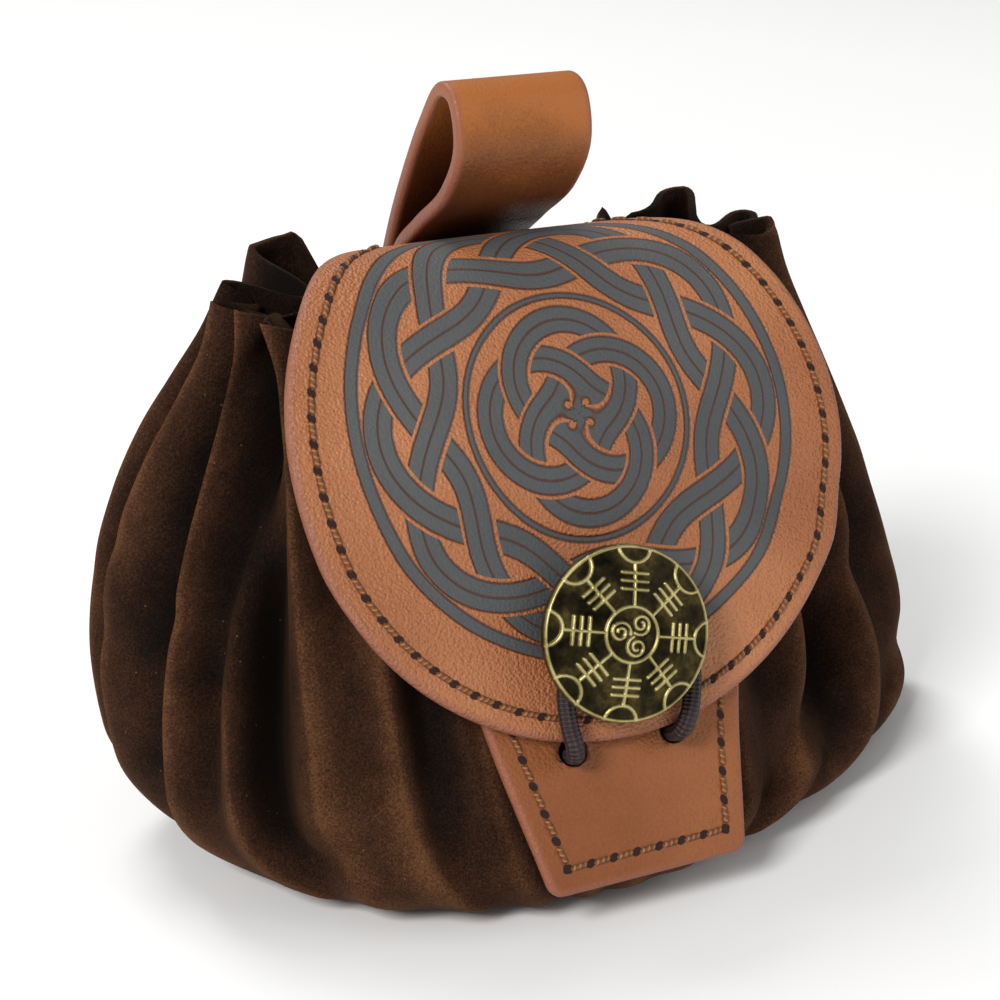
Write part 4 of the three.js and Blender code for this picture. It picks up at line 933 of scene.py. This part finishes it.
def addCord():
    holeAt = flapStart - cordHoles["drop"]
    postUp = button["rise"] + cordHoles["drop"]
    rest = 3 * leather["gap"] + leather["tabLeather"] + leather["flapLeather"] + cord["radius"]
    front = []
    for x, up, above in cord["route"]:
        point, _, out = placeOnLine(np.array([holeAt + up * postUp]))
        across = x * cordHoles["spacing"] / 2 + leather["tabShift"]
        front.append(np.array([across, point[0, 1], point[0, 2]]) + out[0] * (above * rest - crownAt(across)))
    point, _, out = placeOnLine(np.array([holeAt]))
    inwards = out[0] * cord["knotDepth"]
    knot = np.array([leather["tabShift"], point[0, 1], point[0, 2]]) - inwards
    bend = [knot + (end - knot) * cord["bendAt"] - inwards * cord["bendDrop"]
            for end in (front[0], front[-1])]
    line, lengths = smoothCurve([knot, bend[0]] + front + [bend[1], knot])
    ats = np.linspace(0, lengths[-1], cord["steps"])
    centre = pointsAt(ats, lengths, line)
    tangent = unit(np.gradient(centre, axis=0))
    side = np.cross(tangent[0], out[0])
    sides = []
    for way in tangent:  # a frame carried along with no twist
        side = unit(side - way * (side @ way))
        sides.append(side)
    sides = np.array(sides)
    others = np.cross(tangent, sides)
    turns = tau * np.arange(cord["sides"]) / cord["sides"]
    around = np.cos(turns)[None, :, None] * sides[:, None] + np.sin(turns)[None, :, None] * others[:, None]
    points = (centre[:, None] + cord["radius"] * around).reshape(-1, 3)
    flat = np.stack(np.broadcast_arrays(ats[:, None], turns[None, :], 0.0), -1).reshape(-1, 3)
    material = cordMaterial()
    faces = tubeFaces(len(ats), len(turns))
    piece = meshPiece("braided_loop", points * mm, faces, [material], flat)
    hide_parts("closing_cord")
    bpy.ops.mesh.primitive_uv_sphere_add(
        segments=28, ring_count=18, radius=cord["knot"] * mm, location=knot * mm)
    ball = bpy.context.object
    ball.name = "cord_knot"
    bpy.ops.object.transform_apply(location=True)
    ball.data.materials.append(material)
    ball.data.polygons.foreach_set("use_smooth", [True] * len(ball.data.polygons))
    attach(ball, "root")
    ball.select_set(False)


addCord()
print("cord made")


# The button

headBack = 2 * cord["radius"] + 2 * leather["gap"] + button["radius"] * math.sin(math.radians(button["turn"]))


def brassMaterial():
    # Cast zinc with an antique brass plating: dark patina in the hollows, mottled at about 4 mm, and rubbed
    # bright on the raised lines.
    material, tree, surface = newMaterial("antique_brass", Metallic=1.0)
    place = addNode(tree, "TexCoord").outputs["Object"]
    worn = addNode(tree, "Attribute", {"attribute_name": "worn"}).outputs["Fac"]
    mottle = addNode(tree, "TexNoise", {"Scale": 260, "Detail": 6, "Roughness": 0.65}, {"Vector": place})
    patina = addNode(tree, "ValToRGB", {"ramp": [
        (0.35, "#1b1812"), (0.52, "#332c1c"), (0.75, "#66572f")]}, {0: mottle})
    bright = addNode(tree, "ValToRGB", {"ramp": [
        (0.35, "#a09358"), (0.65, "#d2c68c")]}, {0: mottle})
    colour = addNode(tree, "Mix", {"data_type": "RGBA"}, {0: worn, 6: patina, 7: bright})
    roughness = addNode(tree, "MapRange", {1: 0.35, 2: 0.7, 3: 0.38, 4: 0.55}, {0: mottle})
    bump = addNode(tree, "Bump", {"Strength": 0.25, "Distance": 0.2 * mm}, {"Height": mottle})
    linkTo(tree, surface, {"Base Color": colour.outputs[2], "Roughness": roughness, "Normal": bump})
    return material


def lineDistance(places):  # how far flat places are from the middle of the nearest cast line
    size, ring = button["radius"], button["ringShare"]
    radius, angle = np.hypot(places[:, 0], places[:, 1]), np.arctan2(places[:, 1], places[:, 0])
    least = np.minimum(abs(radius - size * button["rimShare"]), abs(radius - size * ring))
    sector = tau / button["arms"]
    folded = np.mod(angle + sector / 2, sector) - sector / 2
    onArm = np.stack([radius * np.cos(folded), radius * np.sin(folded)], 1)
    arc = [(1 - (1 - button["arcShare"]) * math.cos(t), button["arcWide"] * math.sin(t))
           for t in np.linspace(-math.pi / 2, math.pi / 2, 13)]
    bars = [((bar, -button["barHalf"]), (bar, button["barHalf"])) for bar in button["bars"]]
    for a, b in [((ring, 0), (button["arcShare"], 0))] + bars + list(zip(arc, arc[1:])):
        least = np.minimum(least, fromSegment(onArm, np.array(a) * size, np.array(b) * size))
    for i in range(button["curls"]):
        turn = tau * i / button["curls"] + math.radians(button["eyeTurn"])
        middle = size * button["eyePlace"] * np.array([math.cos(turn), math.sin(turn)])
        curl = []
        for share in np.linspace(0, 1, 24):
            reach = size * button["eye"] * (1 - button["curlEnd"] * share)
            way = turn + math.pi + button["turns"] * tau * share
            curl.append(middle + reach * np.array([math.cos(way), math.sin(way)]))
        for a, b in zip(curl, curl[1:]):
            least = np.minimum(least, fromSegment(places, a, b))
    return least


def addButton():
    size, sides, rings = button["radius"], button["sides"], button["rings"]
    turns = tau * np.arange(sides) / sides
    circle = np.stack([np.cos(turns), np.sin(turns)], 1)
    radii = np.repeat(np.linspace(0.05, size, rings), sides)
    places = radii[:, None] * np.tile(circle, (rings, 1))
    raised = smoothStep((button["line"] / 2 + button["soft"] - lineDistance(places)) / (2 * button["soft"]))
    top = headBack + button["edge"] + button["dome"] * (1 - (radii / size) ** 2) + button["relief"] * raised
    top -= button["rimDrop"] * smoothStep((radii - size + button["rimRound"]) / button["rimRound"])
    post, backRound = button["post"], button["backRound"]
    profile = [(size, headBack + button["edge"] - button["rimRound"]), (size, headBack + backRound),
               (size - backRound, headBack), (post + button["neck"], headBack),
               (post, headBack - button["rimRound"]),
               (post, -leather["flapLeather"] + button["screw"] + leather["gap"])]
    back = np.vstack([np.column_stack([radius * circle, np.full(sides, z)]) for radius, z in profile])
    points = np.vstack([np.column_stack([places, top]), back])
    faces = [face[::-1] for face in tubeFaces(rings + len(profile), sides)]
    point, tangent, out = placeOnLine(np.array([flapStart + button["rise"]]))
    lift = flapLift(flapStart + button["rise"]) + leather["flapLeather"]
    place = point[0] + out[0] * (lift - crownAt(button["shift"]))
    place[0] = button["shift"]
    swing = Matrix.Rotation(-math.radians(button["turn"]), 3, "Y")
    spin = Matrix.Rotation(math.radians(button["spin"]), 3, "Z")
    basis = np.stack([[1, 0, 0], tangent[0], out[0]], 1) @ np.array(swing @ spin)
    points = (points @ basis.T + place) * mm
    piece = meshPiece("cast_brass_button", points, faces, [brassMaterial()])
    worn = piece.data.attributes.new("worn", "FLOAT", "POINT")
    # real wear only here: bright on the raised lines and a little on the back
    wearAndPaintedLight = np.concatenate([raised, np.full(len(back), button["worn"])])
    worn.data.foreach_set("value", wearAndPaintedLight.astype(np.float32))
    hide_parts("cast_button")
    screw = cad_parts["button_screw"]
    screw.data.materials.clear()
    screw.data.materials.append(piece.data.materials[0])


addButton()
print("button made")


# The floor and the light

studio = {
    "floor": ("#f8f8f7", "#fdfdfc"), "floorSize": 6000, "world": 0.3, "aim": (0, 0, 50),
    "lights": [  # place, size, power in watts
        ((-2100, -1300, 1900), 900, 75), ((1900, -1500, 1300), 1500, 14), ((-300, 1600, 2400), 1200, 36)],
}


def addStudio():
    bpy.ops.mesh.primitive_plane_add(size=studio["floorSize"] * mm, location=(0, 0, 0))
    floor = bpy.context.object
    floor.name = "floor"
    material, tree, surface = newMaterial("matt_white_board", Roughness=0.9)  # painted board, even and matt
    place = addNode(tree, "TexCoord").outputs["Object"]
    tone = addNode(tree, "TexNoise", {"Scale": 3}, {"Vector": place})
    colour = addNode(tree, "ValToRGB", {"ramp": list(enumerate(studio["floor"]))}, {0: tone})
    linkTo(tree, surface, {"Base Color": colour})
    floor.data.materials.append(material)
    world = bpy.data.worlds.new("studio")
    bpy.context.scene.world = world
    world.use_nodes = True
    world.node_tree.nodes["Background"].inputs[0].default_value = (1, 1, 1, 1)
    world.node_tree.nodes["Background"].inputs[1].default_value = studio["world"]
    for i, (place, size, power) in enumerate(studio["lights"]):
        data = bpy.data.lights.new(f"softbox_{i}", "AREA")
        data.size = size * mm
        data.energy = power
        light = bpy.data.objects.new(f"softbox_{i}", data)
        light.location = Vector(place) * mm
        away = Vector(place) - Vector(studio["aim"])
        light.rotation_euler = away.to_track_quat("Z", "Y").to_euler()
        bpy.context.scene.collection.objects.link(light)
    bpy.context.scene.view_settings.view_transform = "Standard"


addStudio()
print("studio made")
